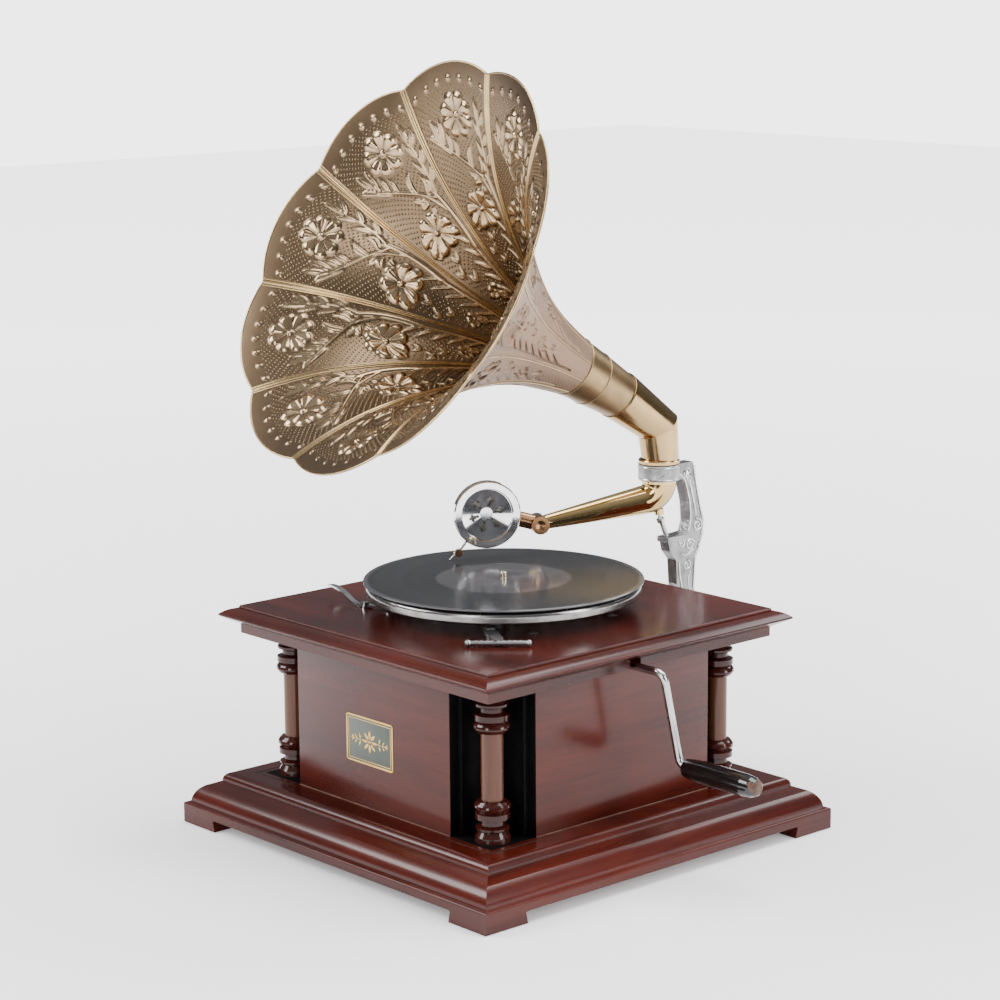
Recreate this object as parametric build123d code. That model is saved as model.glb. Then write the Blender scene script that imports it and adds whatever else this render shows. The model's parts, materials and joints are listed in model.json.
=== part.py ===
"""Wind up table phonograph with an outside horn, in millimetres.

The origin is the centre of the cabinet's underside, under the turntable spindle. -Y is the front,
+X is the crank side, +Y is the bracket side and +Z is up.
"""

import os
from math import asin, atan2, cos, degrees, pi, radians, sin, sqrt

from build123d import *

# ---------------------------------------------------------------- driving dimensions
# Clearances
RUN = 0.08  # radial, shaft in bearing
FREE = 0.35  # between bodies that only pass each other
GLUE = 0.1  # between pieces of one body that slide together

# Cabinet: plinth, box and lid are squares about the spindle
PLINTH_HALF = 210.4
PLINTH_H = 47.5
PLINTH_RAIL_W = 33.6
PLINTH_REBATE = 11.0
FOOT_L = 48.0
FOOT_CUT_H = 10.5
BASE_BOARD_T = 12.0
BOX_HALF = 156.0
PANEL_T = 9.0
NOTCH = 46.0
LINER_T = 5.0
BOX_TOP = 179.9
COLUMN_AT = 136.0
SHAFT_R = 9.7
TENON_R = 4.0
TENON_L = 6.0
FASCIA_HALF = 169.8
FASCIA_H = 8.3
FASCIA_OPENING_R = 124.0
LID_TIP_HALF = 184.4
LID_FLAT_HALF = 170.6
LID_H = 17.4
LID_RAIL_IN = 145.0
TOP_BOARD_T = 10.0
ORNAMENT_W = 64.0
ORNAMENT_H = 43.0
ORNAMENT_T = 0.5
ORNAMENT_AT = (-3.0, 108.5)

# Turntable
RECORD_R = 127.0
RECORD_T = 2.0
RECORD_TOP = 232.3
FELT_T = 0.8
FELT_R = 117.0
PLATTER_R = 124.5
PLATTER_SKIRT_H = 10.5
PLATTER_T = 1.6
HUB_R = 14.0
HUB_DROP = 17.0
SPINDLE_R = 5.0
SPINDLE_TIP_R = 3.6
SPINDLE_TIP_H = 6.5
PIN_FREE_R = 3.0
PIN_STEP_UP = 0.1
PIN_NOSE = 1.6

# Tone arm: a vertical pivot on the centre line behind the cabinet
PIVOT_Y = 197.7
NEEDLE_REACH = 206.2
NEEDLE_AT_REST = (-89.1, 11.7)
NEEDLE_GAP = 0.15
RING_R = 19.7
RING_BOTTOM = 296.9
RING_TOP = 311.9
NECK_R = 16.4
ARM_WALL = 0.9
ARM_END_R = 6.6
ARM_BEND_R = 17.0
ARM_RISE = radians(10.0)
ARM_BEND_START_Z = 277.5
ARM_BEND_START_R = 13.8
HINGE_REACH = 116.5
BARREL_R = 8.6
BARREL_L = 9.5
HINGE_PIN_R = 5.0

# Soundbox: its middle plane stands beside the tone arm's axis
SOUNDBOX_OFFSET = 17.6
SOUNDBOX_REACH = 169.9
SOUNDBOX_Z = 274.9
SOUNDBOX_R = 31.6
SOUNDBOX_BACK = 7.0
BEZEL_IN_R = 24.1
BEZEL_T = 3.2
CASE_WALL = 2.3
GOOSENECK_R = 7.3
GOOSENECK_BORE_R = 4.6
DIAPHRAGM_R = 25.6
DIAPHRAGM_T = 0.5
NEEDLE_R = 0.75
NEEDLE_L = 14.0

# Horn: stations are (distance forward of the pivot, height, outer radius)
HORN_TURN = 4.76
HORN_WALL = 0.8
LIP_H = 4.4
ELBOW_BASE = (-1.5, RING_TOP + FREE + LIP_H, 17.8)
ELBOW_MITRE = (1.8, 348.0, 19.2)
ELBOW_END = (49.7, 382.0, 23.5)
TAIL_SEAM = (82.4, 401.2, 26.0)
BELL_RISE = 28.07
BELL_START = (105.6, 415.0)
BELL_CURVE = ((0, 27.8), (45, 38.3), (90, 57.5), (130, 82.5), (170, 115.5), (200, 149.0), (227, 190.5), (232, 200.0))
PANELS = 10
PANEL_PHASE = 10.0
SEAM_RIM_R = 187.0
CREST_RIM_R = 196.5

# Bracket
ARM_HALF_W = 6.0
SHELF_Z = 240.0
PIN_R = 2.2
FOOT_PLATE_W = 52.0
FOOT_PLATE_Z = (96.0, 160.0)
FOOT_PLATE_T = 6.0
FOOT_SCREW_R = 2.2

# Crank
CRANK_Z = 182.0
CRANK_ROD_R = 3.5
CRANK_BEND_X = 204.0
CRANK_ARM = (19.0, -85.5)
CRANK_BEND_R = 9.0
GRIP_START_X = 213.0
GRIP_L = 86.0
GRIP_R = 10.0
FERRULE_R = 6.0

# Motor, hung under the top board
PLATE_T = 2.5
PLATE_X = (-72.0, 112.0)
PLATE_HALF_Y = 58.0
FRAME_BOTTOM = 116.0
PILLAR_R = 4.0
BARREL_AT = (66.0, 0.0)
SPRING_CASE_R = 39.0
SPRING_CASE_H = 31.0
SPRING_CASE_WALL = 2.0
BARREL_TEETH = 72
BARREL_MODULE = 1.25
MID_PINION_TEETH = 12
MID_WHEEL_TEETH = 60
MID_MODULE = 1.0
SPINDLE_PINION_TEETH = 15
BARREL_GEAR_Z = 122.0
MID_WHEEL_Z = 162.0
WORM_WHEEL_Z = 141.0
WORM_WHEEL_R = 20.0
WORM_R = 5.0
WORM_GAP = 0.8
ARBOR_R = 6.0
ARBOR_TOP_R = 3.0
BEVEL_OUT = 9.5
BEVEL_IN = 4.5
BEVEL_GAP = 1.1
GOVERNOR_SPAN = (-64.0, 18.0)
GOVERNOR_WEIGHT_ORBIT = 12.0

# Controls on the top board
SPEED_PIVOT = (72.0, -81.0)
SPEED_BAR_AT = (108.0, -103.0)
SPEED_BAR_L = 52.0
BRAKE_PIVOT = (-84.0, -93.5)
BRAKE_PAD_AT = (-61.0, -85.0)

# ---------------------------------------------------------------- derived places
LID_BOTTOM = BOX_TOP + FASCIA_H
CABINET_TOP = LID_BOTTOM + LID_H
MITRE_LINE = PLINTH_HALF * 2
BASE_BOARD_HALF = PLINTH_HALF - PLINTH_RAIL_W
NOTCH_HALF = BOX_HALF - NOTCH
MOTOR_TOP = CABINET_TOP - TOP_BOARD_T
FRAME_TOP = MOTOR_TOP - PLATE_T
FELT_TOP = RECORD_TOP - RECORD_T
PLATTER_TOP = FELT_TOP - FELT_T
NEEDLE_AZ = degrees(atan2(-NEEDLE_AT_REST[0], PIVOT_Y - NEEDLE_AT_REST[1]))
ARM_AZ = NEEDLE_AZ + degrees(asin(SOUNDBOX_OFFSET / NEEDLE_REACH))
ARM_OUT = Vector(-sin(radians(ARM_AZ)), -cos(radians(ARM_AZ)), 0)
ARM_SIDE = Vector(cos(radians(ARM_AZ)), -sin(radians(ARM_AZ)), 0)
BEND_START = ARM_BEND_R * (1 - sin(ARM_RISE))
HINGE_Z = ARM_BEND_START_Z - (HINGE_REACH - BEND_START) * sin(ARM_RISE) / cos(ARM_RISE)
HORN_OUT = Vector(-sin(radians(HORN_TURN)), -cos(radians(HORN_TURN)), 0)


def arm_point(reach, side, z):
    """Point beside the tone arm: reach from the pivot, offset to its side, height."""
    return Vector(0, PIVOT_Y, 0) + ARM_OUT * reach + ARM_SIDE * side + Vector(0, 0, z)


def horn_point(reach, z):
    """Point in the horn's upright plane."""
    return Vector(0, PIVOT_Y, 0) + HORN_OUT * reach + Vector(0, 0, z)


def box(x, y, z):
    """Box from three (low, high) pairs."""
    size = [abs(pair[1] - pair[0]) for pair in (x, y, z)]
    middle = [(pair[0] + pair[1]) / 2 for pair in (x, y, z)]
    return Pos(*middle) * Box(*size)


def turned(*outline):
    """Solid turned about Z from (radius, height) corners."""
    corners = [(r, 0, z) for r, z in outline]
    return revolve(make_face(Polyline(*corners, close=True)), Axis.Z)


def rod(start, end, radius, end_radius=None):
    """Round rod or cone between two points."""
    start = Vector(*start)
    along = Vector(*end) - start
    end_radius = radius if end_radius is None else end_radius
    outline = [(0, 0), (radius, 0), (end_radius, along.length), (0, along.length)]
    if end_radius == 0:
        outline.pop(2)
    return Plane(origin=start, z_dir=along).location * turned(*outline)


def upright(x, y, low, high, radius):
    """Round rod along Z."""
    return Pos(x, y, (low + high) / 2) * Cylinder(radius, high - low)


def gear(teeth, module, low, high, phase=0.0, tooth_share=0.30):
    """Spur gear about Z with a tooth centred on the phase angle, in degrees."""
    step = 2 * pi / teeth
    tip = module * (teeth / 2 + 0.8)
    root = module * (teeth / 2 - 1.15)
    corners = []
    for index in range(teeth):
        for share, radius in ((-tooth_share, root), (-0.12, tip), (0.12, tip), (tooth_share, root)):
            angle = radians(phase) + (index + share) * step
            corners.append((radius * cos(angle), radius * sin(angle)))
    return Pos(0, 0, low) * extrude(make_face(Polyline(*corners, close=True)), high - low)


def write(name, shape):
    """Write one node."""
    export_step(shape, f"parts/{name}.step")


# ---------------------------------------------------------------- cabinet
def mitred_rail(section):
    """Front rail of a square frame from a (distance from centre, z) face, cut at 45 degrees."""
    long = PLINTH_HALF + 20
    rail = Pos(-long, 0, 0) * extrude(Plane.YZ * section, 2 * long)
    wedge = make_face(Polyline((0, 0), (-MITRE_LINE, -MITRE_LINE), (MITRE_LINE, -MITRE_LINE), close=True))
    return rail & extrude(wedge, CABINET_TOP)


def frame_of(rail):
    """Four copies of a front rail round the cabinet."""
    return [Rot(0, 0, 90 * quarter) * rail for quarter in range(4)]


def plinth_rails():
    """Moulded plinth rails with bracket feet and a ledge for the base board."""
    half = PLINTH_HALF
    inner = half - PLINTH_RAIL_W
    ledge = PLINTH_H - BASE_BOARD_T
    lip = [Line((-half, 0), (-half, 17.2)), ThreePointArc((-half, 17.2), (-half + 0.5, 18.4), (-half + 1.6, 18.9))]
    fillet_line = Line((-half + 1.6, 18.9), (-half + 5, 20))
    ovolo = ThreePointArc((-half + 5, 20), (-half + 8.2, 28.8), (-half + 15, 35))
    shoulder = Polyline((-half + 15, 35), (-half + 22.5, 38), (-half + 26, 39.5), (-half + 26, 41))
    bead = ThreePointArc((-half + 26, 41), (-half + 28.2, 45.4), (-half + PLINTH_RAIL_W, PLINTH_H))
    back = Polyline(
        (-inner, PLINTH_H),
        (-inner, ledge),
        (-inner + PLINTH_REBATE, ledge),
        (-inner + PLINTH_REBATE, ledge - 10),
        (-half + 20, ledge - 10),
        (-half + 20, 0),
        (-half, 0),
    )
    section = make_face([*lip, fillet_line, ovolo, shoulder, bead, back])
    rail = mitred_rail(section)
    gap = half - FOOT_L
    rail -= box((-gap, gap), (-half - 1, -half + 21), (-1, FOOT_CUT_H))
    for side in (-1, 1):
        rail -= Pos(side * gap, -half + 10, FOOT_CUT_H / 2 - 0.5) * Rot(0, side * 14, 0) * Box(4, 22, FOOT_CUT_H + 1)
    return Compound(children=frame_of(rail))


def base_board():
    """Base board with sockets for the column tenons."""
    half = BASE_BOARD_HALF
    board = box((-half, half), (-half, half), (PLINTH_H - BASE_BOARD_T, PLINTH_H))
    for x, y in corners():
        board -= upright(x, y, PLINTH_H - TENON_L - 0.5, PLINTH_H + 1, TENON_R)
    return board


def corners():
    """Centres of the four columns, anticlockwise from the front right."""
    at = COLUMN_AT
    return [(at, -at), (at, at), (-at, at), (-at, -at)]


def panel(name):
    """Side panel of the box, with the holes that its side needs."""
    board = box((-NOTCH_HALF, NOTCH_HALF), (-BOX_HALF, -BOX_HALF + PANEL_T), (PLINTH_H, BOX_TOP))
    quarter = ["front", "right", "rear", "left"].index(name)
    board = Rot(0, 0, 90 * quarter) * board
    if name == "right":
        board -= rod((BOX_HALF - 30, 0, CRANK_Z), (BOX_HALF + 1, 0, CRANK_Z), FERRULE_R)
    if name == "rear":
        for x, z in foot_screws():
            board -= rod((x, BOX_HALF + 1, z), (x, BOX_HALF - PANEL_T - 1, z), FOOT_SCREW_R)
    return board


def corner_liners():
    """Black L-shaped liners behind the columns, each of two boards."""
    inner = BOX_HALF - PANEL_T
    face = NOTCH_HALF
    arm = box((face - LINER_T, face), (-inner, -face + LINER_T), (PLINTH_H, BOX_TOP))
    arm += box((face - LINER_T, inner), (-face, -face + LINER_T), (PLINTH_H, BOX_TOP))
    return Compound(children=frame_of(arm))


def column(x, y):
    """Turned column: moulded foot, plain shaft, and the foot again upside down."""
    low = PLINTH_H
    foot = [
        ((15.7, 0), (15.2, 5), (12.5, 9.5)),
        ((14.5, 11), (14.5, 13)),
        ((10.5, 15), (10.2, 18.5)),
        ((15, 20.5), (15, 25.5), (13, 26.5)),
    ]
    outline = [(0, 0)]
    for group in foot:
        outline.extend(group)
    torus = [(13 + 3 * sin(pi * step / 6), 26.5 + 9.5 * step / 6) for step in range(1, 7)]
    outline.extend(torus)
    outline.append((SHAFT_R, 36.4))
    height = BOX_TOP - PLINTH_H
    upper = [(r, height - z) for r, z in reversed(outline)]
    post = turned(*outline, *upper)
    post += upright(0, 0, -TENON_L, 0, TENON_R)
    post += upright(0, 0, height, height + TENON_L, TENON_R)
    return Pos(x, y, low) * post


def lid_subframe():
    """Board under the lid whose edge is the fascia, open over the box."""
    half = FASCIA_HALF
    board = box((-half, half), (-half, half), (BOX_TOP, LID_BOTTOM))
    board -= upright(0, 0, BOX_TOP - 1, LID_BOTTOM + 1, FASCIA_OPENING_R)
    board -= rod((FASCIA_OPENING_R - 10, 0, CRANK_Z), (BOX_HALF + 1, 0, CRANK_Z), FERRULE_R)
    board -= box((BOX_HALF, half + 1), (-6.5, 6.5), (BOX_TOP - 1, LID_BOTTOM + 1))
    for x, y in corners():
        board -= upright(x, y, BOX_TOP - 1, BOX_TOP + TENON_L + 0.5, TENON_R)
    return board


def lid_rails():
    """Moulded lid rails, rebated for the top board."""
    tip = LID_TIP_HALF
    low = LID_BOTTOM
    seat = CABINET_TOP - TOP_BOARD_T
    quirk = CABINET_TOP - 2.5
    under = Polyline((-LID_RAIL_IN, low), (-FASCIA_HALF, low), (-tip + 0.4, low + 7.6))
    nose = ThreePointArc((-tip + 0.4, low + 7.6), (-tip, low + 8.5), (-tip + 0.5, low + 9.4))
    thumb = ThreePointArc((-tip + 0.5, low + 9.4), (-tip + 6.2, low + 13.2), (-LID_FLAT_HALF, quirk))
    back = Polyline((-LID_FLAT_HALF, quirk), (-LID_FLAT_HALF, seat), (-LID_RAIL_IN, seat), (-LID_RAIL_IN, low))
    rail = mitred_rail(make_face([under, nose, thumb, back]))
    return Compound(children=frame_of(rail))


def top_board():
    """Flat top with holes for the spindle, the motor screws and the controls."""
    half = LID_FLAT_HALF
    board = box((-half, half), (-half, half), (CABINET_TOP - TOP_BOARD_T, CABINET_TOP))
    board = chamfer(board.edges().group_by(Axis.Z)[-1], 0.6)
    board -= upright(0, 0, MOTOR_TOP - 1, CABINET_TOP + 1, SPINDLE_R + 4)
    board -= upright(*SPEED_PIVOT, MOTOR_TOP - 1, CABINET_TOP + 1, 3 + FREE)
    board -= upright(*BRAKE_PIVOT, CABINET_TOP - 8, CABINET_TOP + 1, 2)
    for x, y in motor_screw_places():
        board -= Pos(x, y, CABINET_TOP) * motor_screw_body()
    return board


def front_ornament():
    """Thin framed plaque on the front panel."""
    x, z = ORNAMENT_AT
    plaque = box(
        (x - ORNAMENT_W / 2, x + ORNAMENT_W / 2),
        (-BOX_HALF - ORNAMENT_T, -BOX_HALF),
        (z - ORNAMENT_H / 2, z + ORNAMENT_H / 2),
    )
    return plaque


# ---------------------------------------------------------------- horn
def section(centre, direction, radius, in_plane=None):
    """Circle, or ellipse with its own half width in the horn's plane, square to a direction."""
    sideways = Vector(0, 0, 1).cross(HORN_OUT)
    plane = Plane(origin=centre, x_dir=sideways, z_dir=direction)
    if in_plane is None:
        return plane * Circle(radius)
    return plane * Ellipse(radius, in_plane)


def horn_direction(rise):
    """Direction in the horn's plane, at an angle above the horizontal."""
    return HORN_OUT * cos(radians(rise)) + Vector(0, 0, sin(radians(rise)))


def rise_between(low, high):
    """Angle above the horizontal from one station to the next."""
    return degrees(atan2(high[1] - low[1], high[0] - low[0]))


def elbow_shape(inset):
    """Mitred elbow, drawn in by a wall."""
    lower = rise_between(ELBOW_BASE, ELBOW_MITRE)
    upper = rise_between(ELBOW_MITRE, ELBOW_END)
    bisector = (lower + upper) / 2
    stretch = 1 / cos(radians((lower - upper) / 2))
    base = section(horn_point(*ELBOW_BASE[:2]), Vector(0, 0, 1), ELBOW_BASE[2] - inset)
    middle_r = ELBOW_MITRE[2] - inset
    middle = section(horn_point(*ELBOW_MITRE[:2]), horn_direction(bisector), middle_r, middle_r * stretch)
    end = section(horn_point(*ELBOW_END[:2]), horn_direction(upper), ELBOW_END[2] - inset)
    return loft([base, middle], ruled=True) + loft([middle, end], ruled=True)


def horn_elbow():
    """Hollow elbow with the spigot that turns in the bracket's ring."""
    shell = elbow_shape(0)
    spigot_low = (RING_BOTTOM + RING_TOP) / 2 + 1
    spigot_top = RING_TOP + FREE
    shell += upright(0, PIVOT_Y, spigot_low, ELBOW_BASE[1], NECK_R - GLUE - HORN_WALL)
    shell += upright(0, PIVOT_Y, spigot_low, spigot_top + LIP_H, NECK_R - 0.4)
    shell -= elbow_shape(HORN_WALL)
    shell -= upright(0, PIVOT_Y, spigot_low - 1, ELBOW_BASE[1] + 0.5, NECK_R - 0.4 - HORN_WALL)
    return shell


def horn_lip_ring():
    """Brass ring that carries the horn on the bracket's ring."""
    low = RING_TOP + FREE
    ring = turned(
        (NECK_R - 0.3, low),
        (RING_R - 0.6, low),
        (RING_R, low + 0.8),
        (RING_R, low + 3.2),
        (RING_R - 0.8, low + LIP_H - GLUE),
        (NECK_R - 0.3, low + LIP_H - GLUE),
    )
    return Pos(0, PIVOT_Y, 0) * ring


def horn_tail():
    """Tapered tube from the elbow to the bell, with its seam rings."""
    upper = rise_between(ELBOW_MITRE, ELBOW_END)
    mid_rise = rise_between(ELBOW_END, TAIL_SEAM)
    start = (ELBOW_END[0] - 6 * cos(radians(upper)), ELBOW_END[1] - 6 * sin(radians(upper)))
    bell = (*BELL_START, BELL_CURVE[0][1])

    def shape(inset):
        first = section(horn_point(*start), horn_direction(upper), ELBOW_END[2] - 2.0 - inset)
        joint = section(horn_point(*ELBOW_END[:2]), horn_direction(mid_rise), ELBOW_END[2] - 1.2 - inset)
        seam = section(horn_point(*TAIL_SEAM[:2]), horn_direction(mid_rise), TAIL_SEAM[2] - inset)
        end = section(horn_point(*bell[:2]), horn_direction(BELL_RISE), bell[2] - inset)
        lower = loft([first, joint], ruled=True) + loft([joint, seam], ruled=True)
        return lower + loft([seam, end], ruled=True)

    return shape(0) - shape(HORN_WALL)


def bell_frame():
    """Plane square to the bell's axis at its throat."""
    axis = horn_direction(BELL_RISE)
    return Plane(origin=horn_point(*BELL_START), x_dir=Vector(0, 0, 1).cross(axis), z_dir=axis)


def horn_panel(index):
    """One tenth of the bell, cut to its petal edge."""
    outer = [Vector(r, 0, along) for along, r in BELL_CURVE]
    inner = []
    for place, point in enumerate(outer):
        before = outer[max(place - 1, 0)]
        after = outer[min(place + 1, len(outer) - 1)]
        slope = (after - before).normalized()
        inner.append(point + Vector(-slope.Z, 0, slope.X) * HORN_WALL)
    inner[0] = outer[0] + Vector(-HORN_WALL, 0, 0)
    edge = [Spline(*outer), Line(outer[-1], inner[-1]), Spline(*inner), Line(inner[0], outer[0])]
    spread = 360 / PANELS
    gore = Rot(0, 0, -spread / 2) * revolve(make_face(edge), Axis.Z, spread)
    half = radians(spread / 2)
    left = (SEAM_RIM_R * cos(half), -SEAM_RIM_R * sin(half))
    right = (left[0], -left[1])
    petal = [Line((0, 0), left), ThreePointArc(left, (CREST_RIM_R, 0), right), Line(right, (0, 0))]
    gore &= Pos(0, 0, -10) * extrude(make_face(petal), 260)
    middle = PANEL_PHASE + spread / 2 + spread * index
    return bell_frame().location * Rot(0, 0, middle) * gore


# ---------------------------------------------------------------- bracket
def foot_screws():
    """Places (x, z) of the screws that hold the bracket's foot."""
    low, high = FOOT_PLATE_Z
    return [(x, z) for x in (-18, 18) for z in (low + 12, high - 12)]


def horn_bracket():
    """Cast arm with its ring, its shelf for the pivot pin and its foot."""
    outline = [
        (237, 309.3), (241, 296), (247.9, 268.6), (253.5, 249.6), (251.9, 235.7), (241.5, 213.3),
        (240.3, 185), (236, 160), (222, 133), (200, 112), (160, 100), (160, 150), (186, 160), (204, 172),
        (214, 184), (216.7, 193), (215.1, 216.3), (207, 226), (203.5, SHELF_Z), (229.4, SHELF_Z + 1.5),
        (232.9, 252.5), (231.4, 270.9), (225, 292.8), (216, 298), (216, 309.3),
    ]
    web = make_face(Polyline(*outline, close=True))
    arm = Pos(-ARM_HALF_W, 0, 0) * extrude(Plane.YZ * web, 2 * ARM_HALF_W)
    arm += upright(0, PIVOT_Y, RING_BOTTOM, RING_TOP, RING_R)
    arm -= upright(0, PIVOT_Y, RING_BOTTOM - 5, RING_TOP + 5, NECK_R + RUN)
    low, high = FOOT_PLATE_Z
    half = FOOT_PLATE_W / 2
    arm += box((-half, half), (BOX_HALF, BOX_HALF + FOOT_PLATE_T), (low, high))
    arm += box((-7.5, 7.5), (203, 228), (SHELF_Z - 5, SHELF_Z))
    for x, z in foot_screws():
        arm -= rod((x, BOX_HALF - 1, z), (x, BOX_HALF + FOOT_PLATE_T + 1, z), FOOT_SCREW_R)
    arm -= pin_body(PIN_R, 8)
    return arm


def bracket_screws():
    """Four round headed screws through the foot into the rear panel."""
    screws = []
    for x, z in foot_screws():
        face = BOX_HALF + FOOT_PLATE_T
        shank = rod((x, BOX_HALF - PANEL_T, z), (x, face, z), FOOT_SCREW_R - GLUE)
        head = rod((x, face, z), (x, face + 2.4, z), 4.4, 3)
        slot = box((x - 5, x + 5), (face + 1.4, face + 3), (z - 0.5, z + 0.5))
        screws.append(shank + head - slot)
    return Compound(children=screws)


PIN_BASE = Vector(0, 208.0, SHELF_Z)
PIN_TIP = Vector(0, PIVOT_Y, 262.0)


def pin_body(radius, below):
    """Straight rod along the pivot pin's axis, from below the shelf to near its tip."""
    along = (PIN_TIP - PIN_BASE).normalized()
    return rod(PIN_BASE - along * below, PIN_TIP - along * 3, radius)


def pivot_pin():
    """Threaded rod with a nut on the shelf and a rounded point under the tone arm."""
    along = (PIN_TIP - PIN_BASE).normalized()
    pin = pin_body(PIN_R, 6)
    pin += rod(PIN_TIP - along * 3, PIN_TIP, PIN_R, 0.6)
    nut = extrude(RegularPolygon(4.2, 6), 3)
    pin += Plane(origin=PIN_TIP - along * 7, z_dir=along).location * nut
    return pin


# ---------------------------------------------------------------- tone arm
def arm_section(reach, z, angle, radius):
    """Circle square to the tone arm, whose direction rises by an angle towards the pivot."""
    direction = ARM_OUT * -cos(angle) + Vector(0, 0, sin(angle))
    return Plane(origin=arm_point(reach, 0, z), x_dir=ARM_SIDE, z_dir=direction) * Circle(radius)


def arm_tube(inset):
    """Tapered, bent tube of the tone arm, drawn in by a wall."""
    first = HINGE_REACH - 3
    first_z = ARM_BEND_START_Z - (first - BEND_START) * sin(ARM_RISE) / cos(ARM_RISE)
    free_end = arm_section(first, first_z, ARM_RISE, ARM_END_R - inset)
    bend = []
    steps = 5
    for step in range(steps + 1):
        angle = ARM_RISE + (pi / 2 - ARM_RISE) * step / steps
        reach = ARM_BEND_R * (1 - sin(angle))
        z = ARM_BEND_START_Z + ARM_BEND_R * (cos(ARM_RISE) - cos(angle))
        radius = ARM_BEND_START_R + (NECK_R - ARM_BEND_START_R) * step / steps
        bend.append(arm_section(reach, z, angle, radius - inset))
    neck_top = (RING_BOTTOM + RING_TOP) / 2
    neck = upright(0, PIVOT_Y, z, neck_top, NECK_R - inset)
    return loft([free_end, bend[0]], ruled=True) + loft(bend) + neck


def hinge_rod(low, high, radius):
    """Rod along the gooseneck hinge, between two sideways offsets."""
    return rod(arm_point(HINGE_REACH, low, HINGE_Z), arm_point(HINGE_REACH, high, HINGE_Z), radius)


def tone_arm():
    """Hollow arm with its cross barrel and the cup that sits on the pivot pin."""
    arm = arm_tube(0)
    arm += hinge_rod(-BARREL_L, 0, BARREL_R)
    arm -= arm_tube(ARM_WALL)
    arm += upright(0, PIVOT_Y, 262.6, 268.4, 4.5)
    arm -= rod((0, PIVOT_Y, 262.0), (0, PIVOT_Y, 263.8), 1.6, 0.4)
    arm -= hinge_rod(-BARREL_L - 1, BARREL_R, HINGE_PIN_R + RUN)
    arm -= hinge_rod(0, BARREL_R, BARREL_R + FREE)
    return arm


def gooseneck():
    """Hinge pin, turned end cap and the tube that carries the soundbox."""
    hinge = arm_point(HINGE_REACH, 0, HINGE_Z)
    elbow = arm_point(SOUNDBOX_REACH, 0, SOUNDBOX_Z)
    back = SOUNDBOX_OFFSET - SOUNDBOX_BACK - 3
    neck = rod(hinge, elbow, GOOSENECK_R)
    neck += Pos(elbow) * Sphere(GOOSENECK_R)
    neck += rod(elbow, arm_point(SOUNDBOX_REACH, back, SOUNDBOX_Z), GOOSENECK_R)
    neck += rod(elbow, arm_point(SOUNDBOX_REACH, back + 3, SOUNDBOX_Z), HINGE_PIN_R)
    neck -= hinge_rod(-BARREL_L - 2, FREE, BARREL_R + FREE)
    neck += hinge_rod(FREE, 10.5, BARREL_R)
    bore_start = hinge + (elbow - hinge) * 0.22
    neck -= rod(bore_start, elbow, GOOSENECK_BORE_R)
    neck -= Pos(elbow) * Sphere(GOOSENECK_BORE_R)
    neck -= rod(elbow, arm_point(SOUNDBOX_REACH, back + 4, SOUNDBOX_Z), HINGE_PIN_R - 1)
    neck -= rod(arm_point(HINGE_REACH, 9.3, HINGE_Z), arm_point(HINGE_REACH, 11, HINGE_Z), 1.0, 6.4)
    neck += hinge_rod(-BARREL_L - 1, 1, HINGE_PIN_R)
    neck += hinge_rod(-BARREL_L - 2.2, -BARREL_L - FREE, HINGE_PIN_R + 1.6)
    return neck


def soundbox_frame():
    """Plane of the soundbox: x towards the pivot, y up, z towards its face."""
    centre = arm_point(SOUNDBOX_REACH, SOUNDBOX_OFFSET, SOUNDBOX_Z)
    return Plane(origin=centre, x_dir=ARM_OUT * -1, z_dir=ARM_SIDE)


def needle_tip():
    """Needle tip in the soundbox's plane."""
    reach = sqrt(NEEDLE_REACH**2 - SOUNDBOX_OFFSET**2)
    return (SOUNDBOX_REACH - reach, RECORD_TOP + NEEDLE_GAP - SOUNDBOX_Z)


CHUCK_AT = (-25.5, -33.2)
STYLUS_ANGLE = degrees(atan2(CHUCK_AT[1], CHUCK_AT[0]))


def soundbox_case():
    """Cup with the boss for the gooseneck and a slot for the stylus bar."""
    wall_r = SOUNDBOX_R - 1.2
    inner_r = wall_r - CASE_WALL
    case = turned(
        (HINGE_PIN_R + GLUE, -SOUNDBOX_BACK - 3),
        (10, -SOUNDBOX_BACK - 3),
        (10, -SOUNDBOX_BACK),
        (wall_r - 2, -SOUNDBOX_BACK),
        (wall_r, -SOUNDBOX_BACK + 2),
        (wall_r, 4),
        (inner_r, 4),
        (inner_r, -SOUNDBOX_BACK + 1.6),
        (HINGE_PIN_R + GLUE, -SOUNDBOX_BACK + 1.6),
    )
    return case - stylus_slot()


def stylus_slot():
    """Radial slot through the case wall and the bezel's skirt."""
    return Rot(0, 0, STYLUS_ANGLE) * box((DIAPHRAGM_R + 1.2, SOUNDBOX_R + 2), (-3.2, 3.2), (-2.6, 1.6))


def soundbox_bezel():
    """Broad polished ring over the front of the case."""
    skirt_in = SOUNDBOX_R - 1.2 + GLUE
    ring = turned(
        (skirt_in, -1),
        (SOUNDBOX_R, -1),
        (SOUNDBOX_R, 4 + BEZEL_T - 1.2),
        (SOUNDBOX_R - 1.2, 4 + BEZEL_T),
        (BEZEL_IN_R + 0.8, 4 + BEZEL_T),
        (BEZEL_IN_R, 4 + BEZEL_T - 0.8),
        (BEZEL_IN_R, 4),
        (skirt_in, 4),
    )
    return ring - stylus_slot()


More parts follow.
